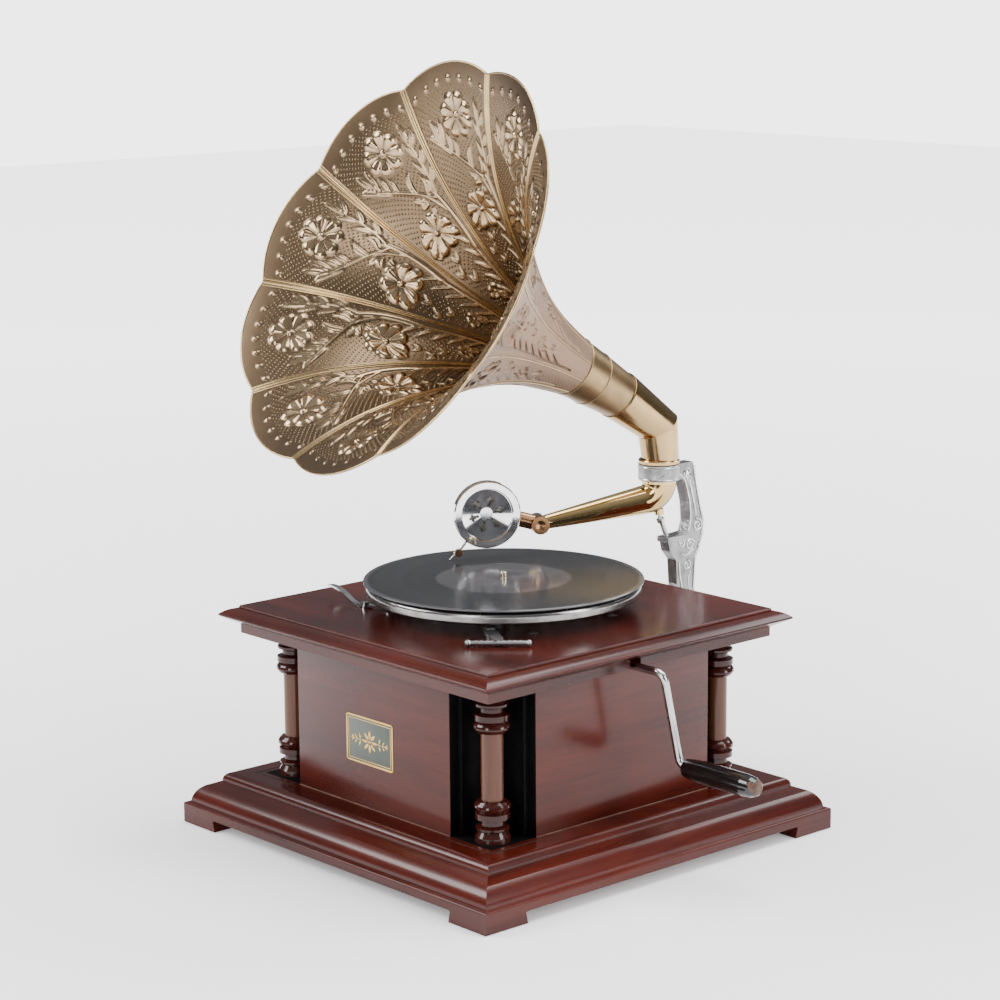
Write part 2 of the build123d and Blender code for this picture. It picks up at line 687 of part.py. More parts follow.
def soundbox_grille():
    """The dished plate in front of the diaphragm, pierced by six leaf-shaped groups of holes."""
    flange_r = SOUNDBOX_R - 1.2 - CASE_WALL - GLUE
    dish_r = BEZEL_IN_R - 0.6
    front = 4.0
    floor = front - 3.2
    floor_r = 6.0
    sheet = 0.6
    eye_r = 0.9
    grille = turned(
        (eye_r, floor),
        (floor_r, floor),
        (dish_r, front),
        (flange_r, front),
        (flange_r, front - sheet),
        (dish_r, front - sheet),
        (floor_r, floor - sheet),
        (eye_r, floor - sheet),
    )
    lobes = ((8.6, 0, 1.5), (11.2, 0, 1.7), (13.6, 1.9, 1.6), (13.6, -1.9, 1.6), (13.6, 0, 1.2), (15.8, 0, 1.4))
    leaves = Sketch()
    for index in range(6):
        for reach, aside, lobe_r in lobes:
            leaves += Rot(0, 0, 60 * index + 14) * Pos(reach, aside, 0) * Circle(lobe_r)
    return grille - extrude(Pos(0, 0, floor - 4) * leaves, amount=12)


def diaphragm():
    """Thin round diaphragm."""
    return upright(0, 0, -3.6, -3.6 + DIAPHRAGM_T, DIAPHRAGM_R)


def diaphragm_gaskets():
    """Two rubber rings that hold the diaphragm's edge."""
    rings = []
    for low in (-4.8, -3.6 + DIAPHRAGM_T):
        rings.append(upright(0, 0, low, low + 1.2, DIAPHRAGM_R + 0.6) - upright(0, 0, low - 1, low + 2, 21.5))
    rings[1] -= Rot(0, 0, STYLUS_ANGLE) * box((18, 30), (-3.2, 3.2), (-3, 2))
    return Compound(children=rings)


def needle_axis():
    """Start and tip of the needle in the soundbox's plane."""
    tip = Vector(*needle_tip(), 0)
    along = (tip - Vector(*CHUCK_AT, 0)).normalized()
    return tip - along * NEEDLE_L, tip, along


def stylus_bar():
    """Bar from the diaphragm's centre through the case wall to the needle chuck."""
    bar = Rot(0, 0, STYLUS_ANGLE) * box((-1.5, SOUNDBOX_R + 1), (-1.3, 1.3), (-1.6, -0.5))
    bar += upright(0, 0, -3.6 + DIAPHRAGM_T, -0.5, 1.2)
    out = Vector(SOUNDBOX_R - 3, 0, -0.6).rotate(Axis.Z, STYLUS_ANGLE)
    bar += rod(out, (*CHUCK_AT, 0), 1.7)
    start, tip, along = needle_axis()
    bar += rod(start - along * 0.5, start + along * 6, 2.5)
    bar -= rod(start, tip, NEEDLE_R + 0.03)
    hole = start + along * 3
    bar -= rod(hole, hole + Vector(0, 0, 4), 1.15)
    return bar


def needle():
    """Steel needle."""
    start, tip, along = needle_axis()
    return rod(start + along * 0.05, tip - along * 5, NEEDLE_R) + rod(tip - along * 5, tip, NEEDLE_R, 0.12)


def needle_screw():
    """Thumbscrew that clamps the needle, with a notched head."""
    start, tip, along = needle_axis()
    at = start + along * 3
    screw = rod(at + Vector(0, 0, NEEDLE_R), at + Vector(0, 0, 4), 1.1)
    head = upright(0, 0, 3.2, 6.6, 3.7)
    for index in range(16):
        head -= Rot(0, 0, 22.5 * index) * upright(3.9, 0, 3, 7, 0.4)
    return screw + Pos(at) * head


# ---------------------------------------------------------------- turntable
def platter():
    """Pressed steel platter with a rolled rim and a hub."""
    top = PLATTER_TOP
    low = top - PLATTER_SKIRT_H
    rim = PLATTER_R
    lines = [
        Line((SPINDLE_R, 0, top), (rim - 5, 0, top)),
        ThreePointArc((rim - 5, 0, top), (rim - 1.46, 0, top - 1.46), (rim, 0, top - 5)),
        Line((rim, 0, top - 5), (rim, 0, low + 1.3)),
        ThreePointArc((rim, 0, low + 1.3), (rim - 1.3, 0, low), (rim - 2.6, 0, low + 1.3)),
        Polyline(
            (rim - 2.6, 0, low + 1.3),
            (rim - PLATTER_T, 0, low + 2.2),
            (rim - PLATTER_T, 0, top - 4.6),
            (rim - 5, 0, top - PLATTER_T),
            (HUB_R, 0, top - PLATTER_T),
            (HUB_R, 0, top - HUB_DROP),
            (SPINDLE_R, 0, top - HUB_DROP),
            (SPINDLE_R, 0, top),
        ),
    ]
    return revolve(make_face(lines), Axis.Z)


def platter_felt():
    """Felt between platter and record."""
    return upright(0, 0, PLATTER_TOP, FELT_TOP, FELT_R) - upright(0, 0, 200, 240, SPINDLE_R + 1)


def record():
    """Ten inch record with a raised edge and label."""
    label_r = 37
    disc = turned(
        (SPINDLE_TIP_R + RUN, FELT_TOP),
        (RECORD_R - 0.6, FELT_TOP),
        (RECORD_R, FELT_TOP + 0.6),
        (RECORD_R, RECORD_TOP - 0.5),
        (RECORD_R - 0.5, RECORD_TOP),
        (label_r + 24, RECORD_TOP),
        (label_r + 23, RECORD_TOP - 0.15),
        (SPINDLE_TIP_R + RUN, RECORD_TOP - 0.15),
    )
    return disc


def spindle():
    """Spindle with its pinion, worm wheel and record tip."""
    pin_top = RECORD_TOP + SPINDLE_TIP_H
    shoulder = FELT_TOP - 0.05
    shaft = turned(
        (0, FRAME_BOTTOM + 0.5),
        (2.4, FRAME_BOTTOM + 0.5),
        (2.4, FRAME_BOTTOM + PLATE_T + 1),
        (SPINDLE_R, FRAME_BOTTOM + PLATE_T + 1),
        (SPINDLE_R, shoulder),
        (SPINDLE_TIP_R, shoulder),
        (SPINDLE_TIP_R, RECORD_TOP + PIN_STEP_UP),
        (PIN_FREE_R, RECORD_TOP + PIN_STEP_UP),
        (PIN_FREE_R, pin_top - PIN_NOSE),
        (PIN_FREE_R - 0.6, pin_top - 0.5),
        (PIN_FREE_R - 1.6, pin_top),
        (0, pin_top),
    )
    half_step = 180 / SPINDLE_PINION_TEETH
    shaft += gear(
        SPINDLE_PINION_TEETH, MID_MODULE, MID_WHEEL_Z - 1, MID_WHEEL_Z + 6, angle_to_mid() + half_step
    )
    wheel = upright(0, 0, WORM_WHEEL_Z, WORM_WHEEL_Z + 5, WORM_WHEEL_R)
    for index in range(50):
        wheel -= Rot(0, 0, 7.2 * index) * upright(WORM_WHEEL_R + 0.3, 0, WORM_WHEEL_Z - 1, WORM_WHEEL_Z + 6, 0.8)
    return shaft + wheel


# ---------------------------------------------------------------- motor
def mid_place():
    """Place of the intermediate wheel, in mesh with barrel and spindle."""
    to_barrel = BARREL_MODULE * (BARREL_TEETH + MID_PINION_TEETH) / 2
    to_spindle = MID_MODULE * (MID_WHEEL_TEETH + SPINDLE_PINION_TEETH) / 2
    apart = BARREL_AT[0]
    x = (to_spindle**2 - to_barrel**2 + apart**2) / (2 * apart)
    return x, sqrt(to_spindle**2 - x**2)


def angle_to_mid():
    """Direction from the spindle to the intermediate wheel, in degrees."""
    x, y = mid_place()
    return degrees(atan2(y, x))


def bearing_lug(x, y, low, high, z, radius):
    """Upright lug with a bore along X."""
    lug = box((x - 1.5, x + 1.5), (y - 6, y + 6), (low, high))
    return lug - rod((x - 3, y, z), (x + 3, y, z), radius)


def governor_line():
    """Place (y, z) of the governor's axis beside the worm wheel."""
    return -(WORM_WHEEL_R + WORM_R + WORM_GAP), WORM_WHEEL_Z + 2.5


def motor_frame():
    """Two plates on four pillars, with the lugs for the governor and the crank shaft."""
    half = PLATE_HALF_Y
    frame = box(PLATE_X, (-half, half), (FRAME_TOP, MOTOR_TOP))
    frame += box(PLATE_X, (-half, half), (FRAME_BOTTOM, FRAME_BOTTOM + PLATE_T))
    for x in (PLATE_X[0] + 8, PLATE_X[1] - 8):
        for y in (-half + 8, half - 8):
            frame += upright(x, y, FRAME_BOTTOM, MOTOR_TOP, PILLAR_R)
    y, z = governor_line()
    for x in GOVERNOR_SPAN:
        frame += bearing_lug(x, y, FRAME_BOTTOM + PLATE_T, z + 6, z, 1.5 + RUN)
    frame += bearing_lug(PLATE_X[1] - 12, 0, CRANK_Z - 8, FRAME_TOP, CRANK_Z, CRANK_ROD_R + RUN)
    frame -= upright(0, 0, FRAME_TOP - 1, MOTOR_TOP + 1, SPINDLE_R + RUN)
    frame -= upright(0, 0, FRAME_BOTTOM - 1, FRAME_TOP - 20, 2.4 + RUN)
    frame -= upright(*BARREL_AT, FRAME_TOP - 1, MOTOR_TOP + 1, ARBOR_TOP_R + RUN)
    frame -= upright(*BARREL_AT, FRAME_BOTTOM - 1, FRAME_BOTTOM + PLATE_T + 1, ARBOR_TOP_R + RUN)
    for low in (FRAME_BOTTOM, FRAME_TOP):
        frame -= upright(*mid_place(), low - 1, low + PLATE_T + 1, ARBOR_TOP_R + RUN)
    for x, y in motor_screw_places():
        frame -= upright(x, y, FRAME_TOP - 1, MOTOR_TOP + 1, 2)
    return frame


def motor_screw_places():
    """Places of the screws that hang the motor under the top board."""
    half = PLATE_HALF_Y - 10
    return [(x, y) for x in (PLATE_X[0] + 20, PLATE_X[1] - 20) for y in (-half, half)]


def motor_screw_body():
    """Countersunk screw with its head's top at z = 0."""
    length = TOP_BOARD_T + PLATE_T
    return turned((0, -length), (2, -length), (2, -3), (4.6, -0.4), (4.6, 0.001), (0, 0.001))


def motor_screws():
    """Four slotted countersunk screws, flush under the platter."""
    screws = []
    for x, y in motor_screw_places():
        length = TOP_BOARD_T + PLATE_T
        screw = turned((0, -length), (1.9, -length), (1.9, -3.1), (4.5, -0.5), (4.5, 0), (0, 0))
        screw -= box((-5, 5), (-0.5, 0.5), (-0.8, 1))
        screws.append(Pos(x, y, CABINET_TOP) * screw)
    return Compound(children=screws)


def spring_barrel():
    """Round case for the mainspring with its gear."""
    gear_low = BARREL_GEAR_Z
    low = gear_low + 5
    high = low + SPRING_CASE_H
    mid = mid_place()
    phase = degrees(atan2(mid[1] - BARREL_AT[1], mid[0] - BARREL_AT[0]))
    case = gear(BARREL_TEETH, BARREL_MODULE, gear_low, low, phase)
    case += upright(0, 0, low - 0.1, high, SPRING_CASE_R)
    wall = SPRING_CASE_WALL
    case -= upright(0, 0, low, high - wall, SPRING_CASE_R - wall)
    case -= upright(0, 0, gear_low - 1, high + 1, ARBOR_R + RUN)
    return Pos(*BARREL_AT, 0) * case


def mainspring():
    """Coiled flat spring inside the barrel."""
    turns = 6
    first = ARBOR_R + 5
    last = SPRING_CASE_R - SPRING_CASE_WALL - 2
    strip = 0.9
    low = BARREL_GEAR_Z + 5 + 1.5
    height = SPRING_CASE_H - SPRING_CASE_WALL - 3
    steps = turns * 12
    outer = []
    inner = []
    for step in range(steps + 1):
        angle = 2 * pi * step / 12
        radius = first + (last - first) * step / steps
        outer.append((radius * cos(angle), radius * sin(angle)))
        inner.append(((radius - strip) * cos(angle), (radius - strip) * sin(angle)))
    face = make_face([Spline(*outer), Line(outer[-1], inner[-1]), Spline(*inner[::-1]), Line(inner[0], outer[0])])
    return Pos(*BARREL_AT, low) * extrude(face, height)


def bevel():
    """Bevel wheel about Z with its apex at z = 0 and its back downwards."""
    back = BEVEL_OUT + BEVEL_GAP
    front = BEVEL_IN + BEVEL_GAP
    wheel = turned((0, -back - 5), (BEVEL_OUT, -back - 5), (BEVEL_OUT, -back), (BEVEL_IN, -front), (0, -front))
    for index in range(14):
        groove = Rot(0, 45, 0) * Box(1.4, 1.3, 30)
        wheel -= Rot(0, 0, 360 * index / 14) * (Pos((BEVEL_OUT + BEVEL_IN) / 2, 0, -(back + front) / 2) * groove)
    return wheel


def winding_arbor():
    """Arbor through the barrel with the bevel wheel that the crank turns."""
    low = FRAME_BOTTOM + 0.3
    arbor = upright(0, 0, low, MOTOR_TOP - 0.3, ARBOR_TOP_R)
    arbor += upright(0, 0, FRAME_BOTTOM + PLATE_T + FREE, CRANK_Z - BEVEL_OUT - BEVEL_GAP - 4, ARBOR_R)
    arbor += Pos(0, 0, CRANK_Z) * bevel()
    return Pos(*BARREL_AT, 0) * arbor


def intermediate_wheel():
    """Pinion and wheel on one shaft between barrel and spindle."""
    x, y = mid_place()
    shaft = upright(0, 0, FRAME_BOTTOM + 0.3, MOTOR_TOP - 0.3, ARBOR_TOP_R)
    to_barrel = degrees(atan2(BARREL_AT[1] - y, BARREL_AT[0] - x))
    half_step = 180 / MID_PINION_TEETH
    shaft += gear(
        MID_PINION_TEETH, BARREL_MODULE, BARREL_GEAR_Z - 1, BARREL_GEAR_Z + 5, to_barrel + half_step
    )
    shaft += upright(0, 0, BARREL_GEAR_Z + 5, MID_WHEEL_Z, 4)
    to_spindle = degrees(atan2(-y, -x))
    shaft += gear(MID_WHEEL_TEETH, MID_MODULE, MID_WHEEL_Z, MID_WHEEL_Z + 4, to_spindle)
    return Pos(x, y, 0) * shaft


def governor():
    """Worm shaft with three sprung weights and the friction disc."""
    y, z = governor_line()
    start, end = GOVERNOR_SPAN
    spin = rod((start - 2, 0, 0), (end + 2, 0, 0), 1.5)
    spin += rod((start + 3, 0, 0), (end - 3, 0, 0), 2.2)
    worm = rod((-9, 0, 0), (9, 0, 0), WORM_R)
    for index in range(6):
        ring_x = -7.5 + 3 * index
        ring = rod((ring_x - 0.6, 0, 0), (ring_x + 0.6, 0, 0), WORM_R + 1)
        worm -= ring - rod((ring_x - 1, 0, 0), (ring_x + 1, 0, 0), WORM_R - 1.4)
    spin += worm
    spin += rod((start + 5, 0, 0), (start + 7, 0, 0), 16)
    for collar in (start + 7, -16):
        spin += rod((collar, 0, 0), (collar + 5, 0, 0), 6)
    middle = (start + 12 - 16) / 2
    for index in range(3):
        low = Vector(start + 9, 0, 4.5)
        apex = Vector(middle, 0, GOVERNOR_WEIGHT_ORBIT)
        high = Vector(-13.5, 0, 4.5)
        weight = rod((middle - 4, 0, GOVERNOR_WEIGHT_ORBIT), (middle + 4, 0, GOVERNOR_WEIGHT_ORBIT), 4)
        arm = leaf(low, apex) + leaf(apex, high) + weight
        spin += Rot(120 * index, 0, 0) * arm
    return Pos(0, y, z) * spin


def leaf(start, end):
    """Thin leaf spring between two points of one upright plane."""
    middle = (start + end) * 0.5
    along = end - start
    tilt = degrees(atan2(along.Z, along.X))
    return Pos(middle) * Rot(0, -tilt, 0) * Box(along.length + 0.6, 4, 0.8)


# ---------------------------------------------------------------- crank
def crank_rod():
    """Bent steel rod with its bevel at the inner end."""
    start = BARREL_AT[0] + BEVEL_IN + BEVEL_GAP + 3
    across, drop = CRANK_ARM
    route = FilletPolyline(
        (start, 0, CRANK_Z),
        (CRANK_BEND_X, 0, CRANK_Z),
        (CRANK_BEND_X + 1.5, across, CRANK_Z + drop),
        (GRIP_START_X + GRIP_L - 12, across, CRANK_Z + drop),
        radius=CRANK_BEND_R,
    )
    bar = sweep(Plane(origin=(start, 0, CRANK_Z), z_dir=(1, 0, 0)) * Circle(CRANK_ROD_R), path=route)
    wheel = Pos(BARREL_AT[0], 0, CRANK_Z) * Rot(0, -90, 0) * Rot(0, 0, 180 / 14) * bevel()
    return bar + wheel


def crank_grip():
    """Turned wooden grip, free to turn on the rod."""
    outline = [
        (CRANK_ROD_R + RUN, 0),
        (7.2, 0),
        (8.2, 1.5),
        (9.2, 8),
        (GRIP_R, 20),
        (GRIP_R, GRIP_L - 16),
        (9.0, GRIP_L - 8),
        (7.0, GRIP_L - 2.5),
        (4.0, GRIP_L),
        (0, GRIP_L),
        (0, GRIP_L - 11.5),
        (CRANK_ROD_R + RUN, GRIP_L - 11.5),
    ]
    across, drop = CRANK_ARM
    return Pos(GRIP_START_X, across, CRANK_Z + drop) * Rot(0, 90, 0) * turned(*outline)


def crank_ferrule():
    """Black bush for the crank in the side panel."""
    outer = FERRULE_R - GLUE
    bush = turned(
        (CRANK_ROD_R + RUN, -24),
        (outer, -24),
        (outer, 0),
        (outer, 1.5),
        (CRANK_ROD_R + RUN, 1.5),
    )
    return Pos(BOX_HALF, 0, CRANK_Z) * Rot(0, 90, 0) * bush


# ---------------------------------------------------------------- controls
def brake_base():
    """Small plate with the brake's pivot screw."""
    x, y = BRAKE_PIVOT
    top = CABINET_TOP
    plate = upright(x, y, top, top + 1.2, 7)
    plate += upright(x, y, top - 7, top + 4.6, 1.9)
    plate += upright(x, y, top + 3.2 + FREE, top + 5.2, 3.6)
    return plate


def brake_lever():
    """Curved thumb lever whose inner end carries the pad."""
    x, y = BRAKE_PIVOT
    low = CABINET_TOP + 1.2 + FREE
    high = CABINET_TOP + 3.2
    pad_x, pad_y = BRAKE_PAD_AT
    lever = upright(x, y, low, high, 5.5) + upright(pad_x, pad_y, low, high, 4.5)
    along = Vector(pad_x - x, pad_y - y, 0)
    bar = box((0, along.length), (-3.4, 3.4), (low, high))
    lever += Pos(x, y, 0) * Rot(0, 0, degrees(atan2(along.Y, along.X))) * bar
    route = Spline(
        (x - 3, y - 0.5, low + 1.0),
        (x - 16, y - 0.5, low + 1.6),
        (x - 28, y + 1.5, low + 5.4),
        (x - 40, y + 3.0, low + 8.6),
        (x - 56, y + 4.5, low + 9.2),
    )
    start = route @ 0
    lever += sweep(Plane(origin=start, x_dir=(0, 1, 0), z_dir=route % 0) * Rectangle(5.6, 1.8), path=route)
    lever -= upright(x, y, low - 1, high + 1, 1.9 + RUN)
    return lever


def brake_pad():
    """Felt pad that presses on the inside of the platter's rim."""
    low = CABINET_TOP + 3.2
    return upright(*BRAKE_PAD_AT, low, PLATTER_TOP - PLATTER_SKIRT_H + 4, 3.5)


def speed_lever():
    """Regulator: upright pivot, flat strap and a bar with ball ends."""
    x, y = SPEED_PIVOT
    bar_x, bar_y = SPEED_BAR_AT
    low = CABINET_TOP + FREE
    lever = upright(x, y, FRAME_TOP - 6, low + 6, 3) + upright(x, y, low, low + 7, 5.5)
    out = Vector(bar_x - x, bar_y - y, 0)
    turn = degrees(atan2(out.Y, out.X))
    strap = box((0, out.length - 5), (-5, 5), (low + 4.6, low + 6.6))
    strap += box((out.length - 6, out.length + 1), (-4, 4), (low + 1.2, low + 6.6))
    lever += Pos(x, y, 0) * Rot(0, 0, turn) * strap
    half = SPEED_BAR_L / 2
    bar = rod((0, -half, 0), (0, half, 0), 2.1)
    for index in range(9):
        at = -half + 7 + index * (SPEED_BAR_L - 14) / 8
        bar += rod((0, at - 1, 0), (0, at + 1, 0), 2.6)
    for end in (-half, half):
        bar += Pos(0, end, 0) * Sphere(3)
    bar_turn = degrees(atan2(0.73, 0.68)) - 90
    return lever + Pos(bar_x, bar_y, low + 3.2) * Rot(0, 0, bar_turn) * bar


# ---------------------------------------------------------------- all nodes
def main():
    """Write every node."""
    os.makedirs("parts", exist_ok=True)
    write("plinth_rails", plinth_rails())
    write("base_board", base_board())
    for side in ("front", "right", "rear", "left"):
        write(f"{side}_panel", panel(side))
    write("corner_liners", corner_liners())
    for number, place in enumerate(corners(), 1):
        write(f"column_{number}", column(*place))
    write("lid_subframe", lid_subframe())
    write("lid_rails", lid_rails())
    write("top_board", top_board())
    write("front_ornament", front_ornament())
    write("horn_elbow", horn_elbow())
    write("horn_lip_ring", horn_lip_ring())
    write("horn_tail", horn_tail())
    for number in range(PANELS):
        write(f"horn_panel_{number + 1:02d}", horn_panel(number))
    write("horn_bracket", horn_bracket())
    write("bracket_screws", bracket_screws())
    write("pivot_pin", pivot_pin())
    write("tone_arm", tone_arm())
    write("gooseneck", gooseneck())
    in_soundbox = soundbox_frame().location
    write("soundbox_case", in_soundbox * soundbox_case())
    write("soundbox_bezel", in_soundbox * soundbox_bezel())
    write("soundbox_grille", in_soundbox * soundbox_grille())
    write("diaphragm", in_soundbox * diaphragm())
    write("diaphragm_gaskets", in_soundbox * diaphragm_gaskets())
    write("stylus_bar", in_soundbox * stylus_bar())
    write("needle", in_soundbox * needle())
    write("needle_screw", in_soundbox * needle_screw())
    write("platter", platter())
    write("platter_felt", platter_felt())
    write("record", record())
    write("spindle", spindle())
    write("motor_frame", motor_frame())
    write("motor_screws", motor_screws())
    write("spring_barrel", spring_barrel())
    write("mainspring", mainspring())
    write("winding_arbor", winding_arbor())
    write("intermediate_wheel", intermediate_wheel())
    write("governor", governor())
    write("crank_rod", crank_rod())
    write("crank_grip", crank_grip())
    write("crank_ferrule", crank_ferrule())
    write("brake_base", brake_base())
    write("brake_lever", brake_lever())
    write("brake_pad", brake_pad())
    write("speed_lever", speed_lever())


main()
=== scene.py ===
"""Wind up table phonograph with an outside horn: shapes and finishes over its fixed frame.

Sizes in the dataclasses are in millimetres and become metres where a mesh is placed. The origin is
the centre of the cabinet's underside, -Y is the front and +X is the crank side.
"""

import json
import logging
from dataclasses import dataclass, field
from enum import Enum
from math import cos, pi, radians, sin, tau

import bpy
import numpy as np
from mathutils import Matrix, Vector

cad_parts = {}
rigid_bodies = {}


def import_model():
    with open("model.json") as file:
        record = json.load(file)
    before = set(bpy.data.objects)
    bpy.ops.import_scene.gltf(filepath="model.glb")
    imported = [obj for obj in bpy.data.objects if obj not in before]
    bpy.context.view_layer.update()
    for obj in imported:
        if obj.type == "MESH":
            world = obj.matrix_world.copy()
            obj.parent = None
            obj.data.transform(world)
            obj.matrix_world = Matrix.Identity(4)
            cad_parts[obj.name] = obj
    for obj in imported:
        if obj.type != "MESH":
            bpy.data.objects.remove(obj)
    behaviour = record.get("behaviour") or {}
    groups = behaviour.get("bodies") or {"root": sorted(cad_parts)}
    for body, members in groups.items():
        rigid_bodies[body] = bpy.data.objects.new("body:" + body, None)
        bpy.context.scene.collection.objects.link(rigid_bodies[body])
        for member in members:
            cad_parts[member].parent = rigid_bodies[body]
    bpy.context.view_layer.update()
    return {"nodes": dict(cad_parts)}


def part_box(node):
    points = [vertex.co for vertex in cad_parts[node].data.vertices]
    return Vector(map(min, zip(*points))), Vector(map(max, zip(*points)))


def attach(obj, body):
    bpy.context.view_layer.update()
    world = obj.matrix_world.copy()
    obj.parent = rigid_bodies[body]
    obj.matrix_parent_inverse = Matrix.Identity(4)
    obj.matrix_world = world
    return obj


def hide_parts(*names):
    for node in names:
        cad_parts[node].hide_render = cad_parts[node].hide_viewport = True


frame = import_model()

MM = 0.001
LOG = logging.getLogger("phonograph")
Colour = tuple[float, float, float]
Point = tuple[float, float, float]


class Grain(Enum):
    """Which way the grain of a wooden piece runs."""

    ALONG_X = "x"
    ALONG_Y = "y"
    ALONG_Z = "z"
    MITRED = "frame"


class Body(Enum):
    """Moving bodies of the phonograph that new pieces ride on."""

    CABINET = "cabinet"
    HORN = "horn"
    TONE_ARM = "tone_arm"
    SOUNDBOX = "soundbox"
    TURNTABLE = "turntable"
    CRANK = "crank"
    GRIP = "grip"
    BRAKE = "brake"
    SPEED = "speed"


# ---------------------------------------------------------------- materials
class NodeSheet:
    """A material's node tree with short calls that add and join nodes."""

    def __init__(self, name: str) -> None:
        """Start a material with one principled shader.

        Args:
            name: name of the material.
        """
        self.material = bpy.data.materials.new(name)
        self.material.use_nodes = True
        self.tree = self.material.node_tree
        self.shader = self.tree.nodes["Principled BSDF"]

    def add(self, kind: str, **settings: object) -> bpy.types.Node:
        """Add a node and set its properties.

        Args:
            kind: type of the node.
            settings: properties by name.

        Returns:
            The new node.
        """
        node = self.tree.nodes.new(kind)
        for name, value in settings.items():
            setattr(node, name, value)
        return node

    def join(self, value: object, socket: bpy.types.NodeSocket) -> None:
        """Give a socket a value, or join it to another node's output.

        Args:
            value: a number, a colour or an output socket.
            socket: the input that takes it.
        """
        if isinstance(value, bpy.types.NodeSocket):
            self.tree.links.new(value, socket)
        elif isinstance(value, tuple) and len(value) == 3 and len(socket.default_value) == 4:
            socket.default_value = (*value, 1.0)
        else:
            socket.default_value = value

    def place(self) -> bpy.types.NodeSocket:
        """Object coordinates, in metres."""
        return self.add("ShaderNodeTexCoord").outputs["Object"]

    def split(self, vector: bpy.types.NodeSocket) -> tuple[bpy.types.NodeSocket, ...]:
        """The three parts of a vector."""
        node = self.add("ShaderNodeSeparateXYZ")
        self.join(vector, node.inputs[0])
        return tuple(node.outputs)

    def vector(self, x: object, y: object, z: object) -> bpy.types.NodeSocket:
        """A vector from three numbers or sockets."""
        node = self.add("ShaderNodeCombineXYZ")
        for value, socket in zip((x, y, z), node.inputs):
            self.join(value, socket)
        return node.outputs[0]

    def calc(self, operation: str, *values: object, clamp: bool = False) -> bpy.types.NodeSocket:
        """Work out a number.

        Args:
            operation: name of the arithmetic step.
            values: numbers or sockets it works on.
            clamp: whether the result is held between 0 and 1.

        Returns:
            The result's socket.
        """
        node = self.add("ShaderNodeMath", operation=operation, use_clamp=clamp)
        for value, socket in zip(values, node.inputs):
            self.join(value, socket)
        return node.outputs[0]

    def noise(
        self, vector: object, scale: float, detail: float = 3.0, rough: float = 0.5
    ) -> bpy.types.NodeSocket:
        """Soft noise.

        Args:
            vector: coordinates.
            scale: features in each unit of length.
            detail: number of finer layers.
            rough: strength of the finer layers.

        Returns:
            The noise's factor.
        """
        node = self.add("ShaderNodeTexNoise")
        self.join(vector, node.inputs["Vector"])
        node.inputs["Scale"].default_value = scale
        node.inputs["Detail"].default_value = detail
        node.inputs["Roughness"].default_value = rough
        return node.outputs[0]

    def ramp(self, factor: object, *stops: tuple[float, Colour]) -> bpy.types.NodeSocket:
        """Colours along a scale.

        Args:
            factor: place along the scale.
            stops: (place, colour) pairs in rising order.

        Returns:
            The colour's socket.
        """
        node = self.add("ShaderNodeValToRGB")
        self.join(factor, node.inputs[0])
        elements = node.color_ramp.elements
        while len(elements) < len(stops):
            elements.new(0.5)
        for element, (at, colour) in zip(elements, stops):
            element.position = at
            element.color = (*colour, 1.0)
        return node.outputs[0]

    def blend(self, factor: object, first: object, second: object) -> bpy.types.NodeSocket:
        """Mix two colours.

        Args:
            factor: share of the second colour.
            first: colour at 0.
            second: colour at 1.

        Returns:
            The mixed colour's socket.
        """
        node = self.add("ShaderNodeMix", data_type="RGBA")
        self.join(factor, node.inputs[0])
        self.join(first, node.inputs[6])
        self.join(second, node.inputs[7])
        return node.outputs[2]

    def span(self, value: object, low: float, high: float, start: float, end: float) -> bpy.types.NodeSocket:
        """Move a number from one range to another, held at its ends.

        Args:
            value: the number.
            low: lowest value in.
            high: highest value in.
            start: result at the lowest.
            end: result at the highest.

        Returns:
            The result's socket.
        """
        node = self.add("ShaderNodeMapRange")
        for number, socket in zip((value, low, high, start, end), node.inputs):
            self.join(number, socket)
        return node.outputs[0]

    def bump(self, height: object, strength: float, distance: float) -> None:
        """Raise the surface by a height pattern.

        Args:
            height: the pattern, from 0 to 1.
            strength: how much of it shows.
            distance: height of a full step, in metres.
        """
        node = self.add("ShaderNodeBump")
        node.inputs["Strength"].default_value = strength
        node.inputs["Distance"].default_value = distance
        self.join(height, node.inputs["Height"])
        self.join(node.outputs[0], self.shader.inputs["Normal"])

    def shade(self, **values: object) -> None:
        """Set or join the shader's inputs; an underscore in a name stands for a space."""
        for name, value in values.items():
            self.join(value, self.shader.inputs[name.replace("_", " ")])


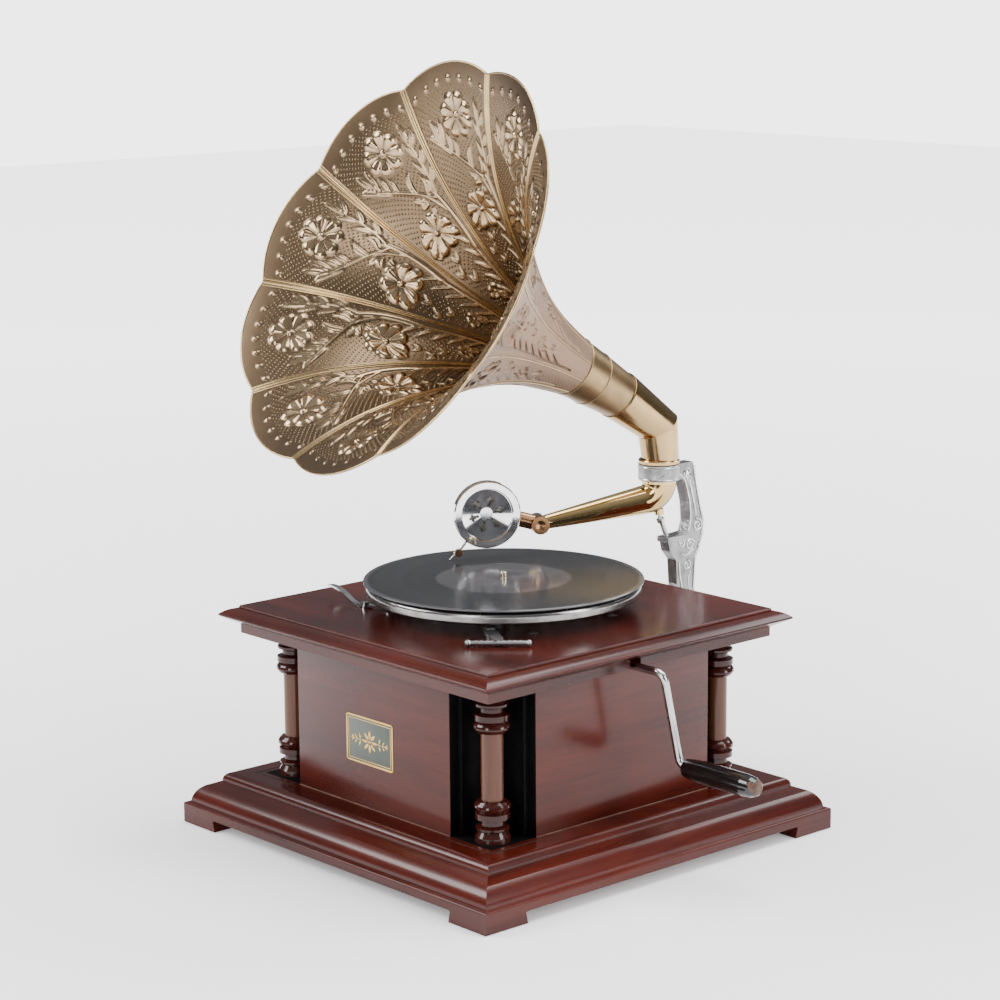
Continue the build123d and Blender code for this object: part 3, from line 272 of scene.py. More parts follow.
@dataclass(frozen=True)
class Mahogany:
    """Stained and lacquered wood with streaky grain."""

    name: str
    grain: Grain
    dark: Colour = (0.022, 0.0032, 0.0022)
    light: Colour = (0.080, 0.0105, 0.0052)
    streaks: float = 30.0
    coat: float = 0.06
    gloss: float = 0.20
    shaft: tuple[float, float] | None = None

    def build(self) -> bpy.types.Material:
        """Make the material."""
        sheet = NodeSheet(self.name)
        x, y, z = sheet.split(sheet.place())
        if self.grain is Grain.MITRED:
            side = sheet.calc("GREATER_THAN", sheet.calc("ABSOLUTE", x), sheet.calc("ABSOLUTE", y))
            swap = sheet.add("ShaderNodeMix", data_type="VECTOR")
            sheet.join(side, swap.inputs[0])
            sheet.join(sheet.vector(x, y, z), swap.inputs[4])
            sheet.join(sheet.vector(y, x, z), swap.inputs[5])
            x, y, z = sheet.split(swap.outputs[1])
        along, across, depth = {
            Grain.ALONG_X: (x, y, z),
            Grain.MITRED: (x, y, z),
            Grain.ALONG_Y: (y, x, z),
            Grain.ALONG_Z: (z, x, y),
        }[self.grain]
        run = sheet.vector(sheet.calc("MULTIPLY", along, 0.09), across, depth)
        broad = sheet.noise(run, self.streaks, 4.0, 0.62)
        fine = sheet.noise(run, self.streaks * 9, 3.0, 0.6)
        cloud = sheet.noise(sheet.place(), 7.0, 2.0, 0.5)
        figure = sheet.calc("ADD", sheet.calc("MULTIPLY", broad, 0.72), sheet.calc("MULTIPLY", fine, 0.28))
        figure = sheet.calc("ADD", figure, sheet.calc("MULTIPLY", sheet.calc("SUBTRACT", cloud, 0.5), 0.35))
        middle = tuple((low + high) / 2 for low, high in zip(self.dark, self.light))
        colour = sheet.ramp(figure, (0.30, self.dark), (0.52, middle), (0.72, self.light))
        roughness: object = sheet.span(fine, 0.2, 0.8, self.gloss, self.gloss + 0.03)
        if self.shaft is not None:
            low, high = (value * MM for value in self.shaft)
            above = sheet.calc("GREATER_THAN", z, low)
            below = sheet.calc("LESS_THAN", z, high)
            bare = sheet.calc("MULTIPLY", above, below)
            pale = sheet.ramp(figure, (0.3, (0.050, 0.017, 0.009)), (0.7, (0.115, 0.041, 0.022)))
            colour = sheet.blend(bare, colour, pale)
        sheet.shade(
            Base_Color=colour, Roughness=roughness, Coat_Weight=self.coat, Coat_Roughness=0.09, IOR=1.36
        )
        sheet.bump(fine, 0.03, 0.0002)
        return sheet.material


@dataclass(frozen=True)
class Brass:
    """Brass with soft tarnish, brush marks and fine scratches."""

    name: str
    colour: Colour = (0.56, 0.37, 0.15)
    tarnish: Colour = (0.30, 0.17, 0.07)
    share: float = 0.5
    roughness: float = 0.24
    brushed: float = 0.05

    def build(self) -> bpy.types.Material:
        """Make the material."""
        sheet = NodeSheet(self.name)
        place = sheet.place()
        cloud = sheet.noise(place, 26.0, 4.0, 0.6)
        speck = sheet.noise(place, 420.0, 2.0, 0.6)
        colour = sheet.blend(sheet.span(cloud, 0.35, 0.75, 0.0, self.share), self.colour, self.tarnish)
        sheet.shade(
            Base_Color=colour,
            Metallic=1.0,
            Roughness=sheet.span(cloud, 0.3, 0.7, self.roughness * 0.85, self.roughness * 1.3),
        )
        sheet.bump(speck, self.brushed, 0.0002)
        return sheet.material


@dataclass(frozen=True)
class EmbossedBrass:
    """Pressed sheet brass: pale on raised work, brown in the ground, with stippled dots."""

    name: str
    raised: Colour = (0.42, 0.300, 0.180)
    ground: Colour = (0.150, 0.102, 0.062)
    roughness: float = 0.22
    pitch: float = 3.6
    dots: float = 1.0

    def build(self) -> bpy.types.Material:
        """Make the material."""
        sheet = NodeSheet(self.name)
        relief = sheet.add("ShaderNodeAttribute", attribute_name="relief").outputs["Fac"]
        field_share = sheet.add("ShaderNodeAttribute", attribute_name="stipple").outputs["Fac"]
        chart = sheet.add("ShaderNodeUVMap", uv_map="panel").outputs[0]
        across, along, _ = sheet.split(chart)
        step = self.pitch * MM
        first = sheet.calc("MULTIPLY", sheet.calc("ADD", across, along), 0.7071 / step)
        second = sheet.calc("MULTIPLY", sheet.calc("SUBTRACT", across, along), 0.7071 / step)
        round_one = sheet.calc("SUBTRACT", sheet.calc("FRACT", first), 0.5)
        round_two = sheet.calc("SUBTRACT", sheet.calc("FRACT", second), 0.5)
        squared = sheet.calc(
            "ADD", sheet.calc("MULTIPLY", round_one, round_one), sheet.calc("MULTIPLY", round_two, round_two)
        )
        dot = sheet.span(squared, 0.0, 0.085, 1.0, 0.0)
        dot = sheet.calc("MULTIPLY", dot, field_share)
        cloud = sheet.noise(sheet.place(), 16.0, 4.0, 0.6)
        lift = sheet.calc("ADD", relief, sheet.calc("MULTIPLY", dot, 0.85), clamp=True)
        colour = sheet.blend(lift, self.ground, self.raised)
        brown = tuple(value * 0.62 for value in self.ground)
        colour = sheet.blend(sheet.span(cloud, 0.45, 0.8, 0.0, 0.7), colour, brown)
        sheet.shade(
            Base_Color=colour,
            Metallic=1.0,
            Roughness=sheet.span(lift, 0.0, 1.0, self.roughness * 1.35, self.roughness * 0.85),
        )
        sheet.bump(dot, self.dots, 0.0012)
        return sheet.material


@dataclass(frozen=True)
class Plate:
    """Bright metal, from mirror chrome to dull iron, with smears and small pits."""

    name: str
    colour: Colour = (0.78, 0.79, 0.80)
    dull: Colour = (0.42, 0.42, 0.43)
    roughness: float = 0.09
    grain: float = 260.0
    depth: float = 0.04

    def build(self) -> bpy.types.Material:
        """Make the material."""
        sheet = NodeSheet(self.name)
        place = sheet.place()
        smear = sheet.noise(place, 60.0, 4.0, 0.6)
        pits = sheet.noise(place, self.grain, 3.0, 0.6)
        colour = sheet.blend(sheet.span(smear, 0.45, 0.8, 0.0, 0.8), self.colour, self.dull)
        sheet.shade(
            Base_Color=colour,
            Metallic=1.0,
            Roughness=sheet.span(smear, 0.3, 0.75, self.roughness, self.roughness * 1.9),
        )
        sheet.bump(pits, self.depth * 4, 0.0003)
        return sheet.material


@dataclass(frozen=True)
class Coated:
    """Paint, rubber, felt or other plain stuff with a fine texture."""

    name: str
    colour: Colour = (0.006, 0.006, 0.007)
    worn: Colour = (0.02, 0.018, 0.018)
    roughness: float = 0.45
    grain: float = 300.0
    depth: float = 0.15
    coat: float = 0.0
    shine: float = 0.5

    def build(self) -> bpy.types.Material:
        """Make the material."""
        sheet = NodeSheet(self.name)
        place = sheet.place()
        cloud = sheet.noise(place, 45.0, 4.0, 0.6)
        fine = sheet.noise(place, self.grain, 3.0, 0.6)
        colour = sheet.blend(sheet.span(cloud, 0.4, 0.8, 0.0, 1.0), self.colour, self.worn)
        rough = sheet.span(fine, 0.2, 0.8, self.roughness * 0.85, min(1.0, self.roughness * 1.2))
        sheet.shade(Base_Color=colour, Roughness=rough, Coat_Weight=self.coat, Specular_IOR_Level=self.shine)
        sheet.bump(fine, self.depth, 0.0003)
        return sheet.material


@dataclass(frozen=True)
class Shellac:
    """Grooved disc: fine rings, a smooth run out and a worn label."""

    name: str
    groove_in: float = 61.0
    groove_out: float = 123.0
    label: float = 37.0

    def build(self) -> bpy.types.Material:
        """Make the material."""
        sheet = NodeSheet(self.name)
        x, y, _ = sheet.split(sheet.place())
        squared = sheet.calc("ADD", sheet.calc("MULTIPLY", x, x), sheet.calc("MULTIPLY", y, y))
        radius = sheet.calc("SQRT", squared)
        rings = sheet.noise(sheet.vector(radius, 0.0, 0.0), 900.0, 3.0, 0.7)
        bands = sheet.noise(sheet.vector(radius, 0.3, 0.0), 120.0, 3.0, 0.7)
        inside = sheet.calc("GREATER_THAN", radius, self.groove_in * MM)
        outside = sheet.calc("LESS_THAN", radius, self.groove_out * MM)
        grooved = sheet.calc("MULTIPLY", inside, outside)
        label = sheet.calc("LESS_THAN", radius, self.label * MM)
        plain = sheet.ramp(bands, (0.3, (0.010, 0.0105, 0.012)), (0.7, (0.030, 0.031, 0.034)))
        smudge = sheet.noise(sheet.place(), 60.0, 4.0, 0.7)
        paper = sheet.ramp(smudge, (0.35, (0.045, 0.042, 0.045)), (0.65, (0.120, 0.115, 0.120)))
        runout = sheet.blend(grooved, (0.062, 0.062, 0.068), plain)
        sheet.shade(
            Base_Color=sheet.blend(label, runout, paper),
            Roughness=sheet.calc(
                "SUBTRACT", 0.20, sheet.calc("MULTIPLY", sheet.calc("SUBTRACT", 1.0, grooved), 0.06)
            ),
            Specular_IOR_Level=0.5,
            Anisotropic=0.5,
        )
        tangent = sheet.add("ShaderNodeTangent", direction_type="RADIAL", axis="Z")
        sheet.join(tangent.outputs[0], sheet.shader.inputs["Tangent"])
        sheet.bump(sheet.calc("MULTIPLY", rings, grooved), 0.05, 0.0002)
        return sheet.material


@dataclass(frozen=True)
class Mica:
    """Thin clear diaphragm with faint flakes."""

    name: str

    def build(self) -> bpy.types.Material:
        """Make the material."""
        sheet = NodeSheet(self.name)
        flakes = sheet.noise(sheet.place(), 160.0, 3.0, 0.5)
        sheet.shade(
            Base_Color=sheet.ramp(flakes, (0.3, (0.40, 0.36, 0.28)), (0.7, (0.62, 0.58, 0.50))),
            Roughness=sheet.span(flakes, 0.3, 0.7, 0.08, 0.2),
            Transmission_Weight=0.45,
        )
        sheet.bump(flakes, 0.05, 0.0002)
        return sheet.material


@dataclass(frozen=True)
class WornGrip:
    """Black painted wood, worn to raw wood at its outer end."""

    name: str
    worn_from: float
    along: Vector
    start: Vector

    def build(self) -> bpy.types.Material:
        """Make the material."""
        sheet = NodeSheet(self.name)
        place = sheet.place()
        shifted = sheet.add("ShaderNodeVectorMath", operation="SUBTRACT")
        sheet.join(place, shifted.inputs[0])
        shifted.inputs[1].default_value = self.start
        reach = sheet.add("ShaderNodeVectorMath", operation="DOT_PRODUCT")
        sheet.join(shifted.outputs[0], reach.inputs[0])
        reach.inputs[1].default_value = self.along
        chips = sheet.noise(place, 120.0, 4.0, 0.7)
        edge = sheet.calc("ADD", reach.outputs["Value"], sheet.calc("MULTIPLY", chips, 0.022))
        bare = sheet.span(edge, self.worn_from, self.worn_from + 0.0012, 0.0, 1.0)
        wood = sheet.ramp(chips, (0.3, (0.035, 0.012, 0.006)), (0.7, (0.12, 0.050, 0.022)))
        sheet.shade(
            Base_Color=sheet.blend(bare, (0.006, 0.005, 0.005), wood),
            Roughness=sheet.span(bare, 0.0, 1.0, 0.16, 0.6),
            Coat_Weight=0.3,
        )
        sheet.bump(chips, 0.12, 0.0003)
        return sheet.material


# ---------------------------------------------------------------- modelling helpers
def clear_selection() -> None:
    """Leave object mode's selection empty."""
    if bpy.context.mode != "OBJECT":
        bpy.ops.object.mode_set(mode="OBJECT")
    bpy.ops.object.select_all(action="DESELECT")


def settle(piece: bpy.types.Object, name: str, material: bpy.types.Material, body: Body) -> bpy.types.Object:
    """Name a finished piece, bake its place into its mesh, dress it and tie it to its body.

    Args:
        piece: the piece.
        name: its name.
        material: its finish, unless it has one already.
        body: the body it rides on.

    Returns:
        The piece.
    """
    clear_selection()
    piece.select_set(True)
    bpy.context.view_layer.objects.active = piece
    bpy.ops.object.transform_apply(location=True, rotation=True, scale=True)
    piece.name = name
    piece.data.name = name
    if not piece.data.materials:
        piece.data.materials.append(material)
    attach(piece, body.value)
    piece.select_set(False)
    return piece


def apply_modifiers(piece: bpy.types.Object) -> None:
    """Apply every modifier of a piece, in order."""
    bpy.context.view_layer.objects.active = piece
    for modifier in list(piece.modifiers):
        bpy.ops.object.modifier_apply(modifier=modifier.name)


def smooth(piece: bpy.types.Object, angle: float = 35.0) -> None:
    """Shade a piece smooth except over sharp edges."""
    clear_selection()
    piece.select_set(True)
    bpy.context.view_layer.objects.active = piece
    bpy.ops.object.shade_smooth_by_angle(angle=radians(angle))


def bevelled_box(low: Point, high: Point, edge: float) -> bpy.types.Object:
    """A block with rounded edges.

    Args:
        low: lowest corner, in millimetres.
        high: highest corner, in millimetres.
        edge: width of the rounding, in millimetres.

    Returns:
        The block.
    """
    clear_selection()
    middle = [(a + b) / 2 * MM for a, b in zip(low, high)]
    bpy.ops.mesh.primitive_cube_add(size=1, location=middle)
    piece = bpy.context.active_object
    piece.scale = [abs(b - a) * MM for a, b in zip(low, high)]
    bpy.ops.object.transform_apply(location=False, rotation=False, scale=True)
    bpy.ops.object.mode_set(mode="EDIT")
    bpy.ops.mesh.select_all(action="SELECT")
    bpy.ops.mesh.bevel(offset=edge * MM, segments=3, affect="EDGES")
    bpy.ops.object.mode_set(mode="OBJECT")
    smooth(piece)
    return piece


def sheet_of(points: np.ndarray, close_across: bool = False, close_along: bool = False) -> bpy.types.Object:
    """A grid laid through rows of points.

    Args:
        points: array of (rows, columns, 3), in metres.
        close_across: whether the last column meets the first.
        close_along: whether the last row meets the first.

    Returns:
        The sheet.
    """
    if close_across:
        points = np.concatenate([points, points[:, :1]], axis=1)
    if close_along:
        points = np.concatenate([points, points[:1]], axis=0)
    rows, columns = points.shape[:2]
    clear_selection()
    bpy.ops.mesh.primitive_grid_add(x_subdivisions=columns - 1, y_subdivisions=rows - 1, size=1)
    piece = bpy.context.active_object
    piece.data.vertices.foreach_set("co", points.reshape(-1).astype(np.float32))
    piece.data.update()
    if close_across or close_along:
        bpy.ops.object.mode_set(mode="EDIT")
        bpy.ops.mesh.select_all(action="SELECT")
        bpy.ops.mesh.remove_doubles(threshold=1e-6)
        bpy.ops.object.mode_set(mode="OBJECT")
    return piece


def close_ends(piece: bpy.types.Object) -> None:
    """Fill a tube's open ends and point its faces outwards."""
    clear_selection()
    piece.select_set(True)
    bpy.context.view_layer.objects.active = piece
    bpy.ops.object.mode_set(mode="EDIT")
    bpy.ops.mesh.select_all(action="DESELECT")
    bpy.ops.mesh.select_mode(type="EDGE")
    bpy.ops.mesh.select_non_manifold(extend=False)
    bpy.ops.mesh.fill_holes(sides=0)
    bpy.ops.mesh.select_all(action="SELECT")
    bpy.ops.mesh.normals_make_consistent(inside=False)
    bpy.ops.mesh.select_mode(type="VERT")
    bpy.ops.object.mode_set(mode="OBJECT")


def tube(
    path: np.ndarray, radii: np.ndarray | float, closed: bool = False, sides: int = 10, up: Point = (0, 0, 1)
) -> bpy.types.Object:
    """A round bar along a path.

    Args:
        path: points along its middle, in metres.
        radii: radius at each point, or one radius, in metres.
        closed: whether its end meets its start.
        sides: number of sides.
        up: a direction that is never along the path.

    Returns:
        The bar.
    """
    if closed:
        ahead = np.roll(path, -1, axis=0) - np.roll(path, 1, axis=0)
    else:
        ahead = np.gradient(path, axis=0)
    ahead /= np.linalg.norm(ahead, axis=1)[:, None]
    side = np.cross(ahead, np.array(up, dtype=float))
    side /= np.linalg.norm(side, axis=1)[:, None]
    over = np.cross(side, ahead)
    radii = np.broadcast_to(np.asarray(radii, dtype=float), (len(path),))
    turn = np.arange(sides) / sides * tau
    ring = side[:, None] * np.cos(turn)[None, :, None] + over[:, None] * np.sin(turn)[None, :, None]
    piece = sheet_of(path[:, None] + ring * radii[:, None, None], close_across=True, close_along=closed)
    close_ends(piece)
    smooth(piece, 50)
    return piece


def joined(pieces: list[bpy.types.Object]) -> bpy.types.Object:
    """Several pieces made one."""
    clear_selection()
    for piece in pieces:
        piece.select_set(True)
    bpy.context.view_layer.objects.active = pieces[0]
    bpy.ops.object.join()
    return bpy.context.active_object


def turned_ring(
    outline: list[tuple[float, float]], centre: Vector, axis: Vector, sides: int = 64, closed: bool = True
) -> bpy.types.Object:
    """A body turned from an outline round an axis.

    Args:
        outline: (radius, distance along the axis) pairs in millimetres.
        centre: point on the axis, in metres.
        axis: direction of the axis.
        sides: number of sides.
        closed: whether the outline's end meets its start.

    Returns:
        The turned body.
    """
    axis = axis.normalized()
    first = axis.orthogonal().normalized()
    second = axis.cross(first)
    rows = []
    for radius, along in outline:
        row = []
        for index in range(sides):
            angle = tau * index / sides
            out = first * cos(angle) + second * sin(angle)
            row.append(centre + (out * radius + axis * along) * MM)
        rows.append(row)
    piece = sheet_of(np.array(rows, dtype=float), close_across=True, close_along=closed)
    close_ends(piece)
    smooth(piece, 40)
    return piece


def dress(material: bpy.types.Material, *nodes: str) -> None:
    """Give fixed parts a finish.

    Args:
        material: the finish.
        nodes: names of the parts.
    """
    for name in nodes:
        part = frame["nodes"][name]
        if not part.material_slots:
            part.data.materials.append(material)
        for place in part.material_slots:
            place.material = material


# ---------------------------------------------------------------- cabinet
@dataclass
class Cabinet:
    """Moulded plinth, box, lid and the four turned columns."""

    board_top: float = 47.5
    notch: float = 110.0
    board_end: float = 104.2
    groove_w: float = 1.4
    ornament: tuple[float, float, float, float] = (-35.0, 29.0, 87.0, 130.0)
    face: float = -156.0

    def build(self) -> None:
        """Dress the woodwork and add its inlays and ornament."""
        mitred = Mahogany("mahogany_mitred", Grain.MITRED).build()
        along_x = Mahogany("mahogany_along_x", Grain.ALONG_X).build()
        along_y = Mahogany("mahogany_along_y", Grain.ALONG_Y).build()
        turned = Mahogany(
            "mahogany_turned", Grain.ALONG_Z, (0.014, 0.0028, 0.0022), (0.045, 0.008, 0.005),
            gloss=0.10, shaft=(83.9, 142.9),
        ).build()
        black = Coated("black_board", (0.0015, 0.0015, 0.002), (0.004, 0.004, 0.004), 0.6, shine=0.08).build()
        dress(mitred, "plinth_rails", "lid_rails", "lid_subframe")
        dress(along_x, "base_board", "top_board")
        self.sides(along_x, along_y, black)
        dress(black, "corner_liners")
        dress(turned, *(f"column_{index}" for index in range(1, 5)))
        self.corner_floors(black)
        self.glue_lines()
        self.front_plaque()

    def sides(
        self, along_x: bpy.types.Material, along_y: bpy.types.Material, black: bpy.types.Material
    ) -> None:
        """Side boards that stop short of the corner recesses, with black edges.

        Args:
            along_x: finish of the front and rear boards.
            along_y: finish of the left and right boards.
            black: finish of the recesses.
        """
        end, out, back = self.board_end, -self.face, -self.face - 9.0
        low, high = self.board_top, 179.85
        for name, finish, turn in (
            ("front", along_x, (0, -1)),
            ("right", along_y, (1, 0)),
            ("rear", along_x, (0, 1)),
            ("left", along_y, (-1, 0)),
        ):
            def corner(along: float, reach: float, height: float) -> Point:
                """Point on this side of the box."""
                if turn[0]:
                    return (turn[0] * reach, along, height)
                return (along, turn[1] * reach, height)

            board = bevelled_box(corner(-end, back, low), corner(end, out, high), 0.25)
            settle(board, f"{name}_board", finish, Body.CABINET)
            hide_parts(f"{name}_panel")
            edges = []
            for side in (-1, 1):
                edges.append(bevelled_box(
                    corner(side * end, back + 0.2, low), corner(side * (end + 0.3), out - 0.1, high), 0.1
                ))
                edges.append(bevelled_box(
                    corner(side * end, back - 1.0, low),
                    corner(side * (self.notch + 0.1), back + 0.3, high),
                    0.1,
                ))
            settle(joined(edges), f"{name}_board_edges", black, Body.CABINET)

    def corner_floors(self, black: bpy.types.Material) -> None:
        """Black floor patches and thin square grooves round the columns' feet.

        Args:
            black: the finish of the patches.
        """
        line = Coated("groove_black", (0.010, 0.006, 0.005), (0.022, 0.012, 0.009), 0.6).build()
        top = self.board_top
        for index, (side_x, side_y) in enumerate(((1, -1), (1, 1), (-1, 1), (-1, -1)), start=1):
            near = self.board_end + 0.4
            far = 155.5
            patch = bevelled_box(
                (side_x * near, side_y * near, top), (side_x * far, side_y * far, top + 0.35), 0.12
            )
            settle(patch, f"corner_floor_{index}", black, Body.CABINET)
            low, high = near - 2.0, far + 7.0
            bars = []
            for start, end in (
                ((low, high - self.groove_w), (high, high)),
                ((high - self.groove_w, low), (high, high)),
            ):
                bars.append(
                    bevelled_box(
                        (side_x * start[0], side_y * start[1], top),
                        (side_x * end[0], side_y * end[1], top + 0.2),
                        0.06,
                    )
                )
            outline = settle(joined(bars), f"corner_line_{index}", line, Body.CABINET)

    def glue_lines(self) -> None:
        """Pale dusty line where the panels stand on the base board."""
        dust = Coated("glue_line", (0.10, 0.045, 0.028), (0.20, 0.10, 0.07), 0.7).build()
        low, high = self.board_top, self.board_top + 0.9
        face = -self.face
        half = self.board_end
        bars = [
            bevelled_box((-half, -face - 0.7, low), (half, -face + 0.1, high), 0.2),
            bevelled_box((-half, face - 0.1, low), (half, face + 0.7, high), 0.2),
            bevelled_box((face - 0.1, -half, low), (face + 0.7, half, high), 0.2),
            bevelled_box((-face - 0.7, -half, low), (-face + 0.1, half, high), 0.2),
        ]
        line = settle(joined(bars), "glue_lines", dust, Body.CABINET)

    def front_plaque(self) -> None:
        """Framed plaque with a rosette between two sprigs."""
        gold = Brass("plaque_gold", (0.72, 0.46, 0.14), (0.42, 0.24, 0.07), 0.4, 0.30).build()
        green = Coated("plaque_field", (0.012, 0.022, 0.012), (0.03, 0.042, 0.02), 0.35, coat=0.5).build()
        left, right, low, high = self.ornament
        face = self.face
        field_plate = bevelled_box(
            (left + 0.5, face - 0.22, low + 0.5), (right - 0.5, face, high - 0.5), 0.08
        )
        settle(field_plate, "plaque_field", green, Body.CABINET)
        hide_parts("front_ornament")
        bars = []
        for inset, width, rise in ((0.0, 1.5, 0.5), (3.0, 0.6, 0.4)):
            a, b, c, d = left + inset, right - inset, low + inset, high - inset
            front = face - rise
            bars.append(bevelled_box((a, front, c), (b, face, c + width), 0.14))
            bars.append(bevelled_box((a, front, d - width), (b, face, d), 0.14))
            bars.append(bevelled_box((a, front, c), (a + width, face, d), 0.14))
            bars.append(bevelled_box((b - width, front, c), (b, face, d), 0.14))
        centre_x, centre_z = (left + right) / 2, (low + high) / 2
        for petal in range(8):
            bars.append(self.petal(centre_x, centre_z, tau * petal / 8, 2.0, 10.5, 3.2))
        bars.append(self.petal(centre_x, centre_z, 0.0, -2.4, 2.4, 2.4))
        for side in (-1, 1):
            for step, (reach, tilt) in enumerate(((12.5, 1.25), (17.0, 0.9), (21.0, 0.55))):
                for way in (-1, 1):
                    angle = way * tilt if side > 0 else pi - way * tilt
                    bars.append(self.petal(centre_x + side * reach, centre_z, angle, 0.4, 6.4 - step, 1.5))
            path = np.array([
                (centre_x + side * t, face - 0.25, centre_z) for t in np.linspace(10.0, 25.5, 12)
            ])
            bars.append(tube(path * MM, 0.24 * MM, sides=6))
        gold_work = settle(joined(bars), "plaque_gold_work", gold, Body.CABINET)

    def petal(
        self, x: float, z: float, angle: float, start: float, end: float, width: float
    ) -> bpy.types.Object:
        """A small raised leaf on the front face.

        Args:
            x: centre of the flower.
            z: its height.
            angle: direction of the leaf.
            start: its near end from the centre.
            end: its far end from the centre.
            width: its width.

        Returns:
            The leaf.
        """
        across = np.linspace(-1, 1, 7)
        along = np.linspace(0, 1, 11)
        grid = np.zeros((11, 7, 3))
        for row, share in enumerate(along):
            half = width / 2 * max(0.02, sin(pi * share) ** 0.7)
            reach = start + (end - start) * share
            for column, side in enumerate(across):
                rise = 0.08 + 0.38 * (1 - side * side) * max(0.0, sin(pi * share))
                grid[row, column] = (
                    x + reach * cos(angle) - side * half * sin(angle),
                    self.face - rise,
                    z + reach * sin(angle) + side * half * cos(angle),
                )
        leaf = sheet_of(grid * MM)
        modifier = leaf.modifiers.new("wall", "SOLIDIFY")
        modifier.thickness = 0.08 * MM
        apply_modifiers(leaf)
        close_ends(leaf)
        smooth(leaf, 60)
        return leaf


# ---------------------------------------------------------------- horn
@dataclass(frozen=True)
class Flower:
    """Eight petalled flower pressed into a panel."""

    along: float
    side: float
    radius: float
    height: float
    petals: int = 8


@dataclass(frozen=True)
class Leaf:
    """Pointed leaf with a vein, from its stalk to its tip."""

    start: tuple[float, float]
    end: tuple[float, float]
    width: float
    height: float = 1.0
    bow: float = 0.0


@dataclass(frozen=True)
class Stem:
    """Curved stem through three points."""

    start: tuple[float, float]
    middle: tuple[float, float]
    end: tuple[float, float]
    width: float = 1.7
    height: float = 0.8


@dataclass(frozen=True)
class Drop:
    """Small raised tear drop."""

    along: float
    side: float
    radius: float
    height: float = 1.1


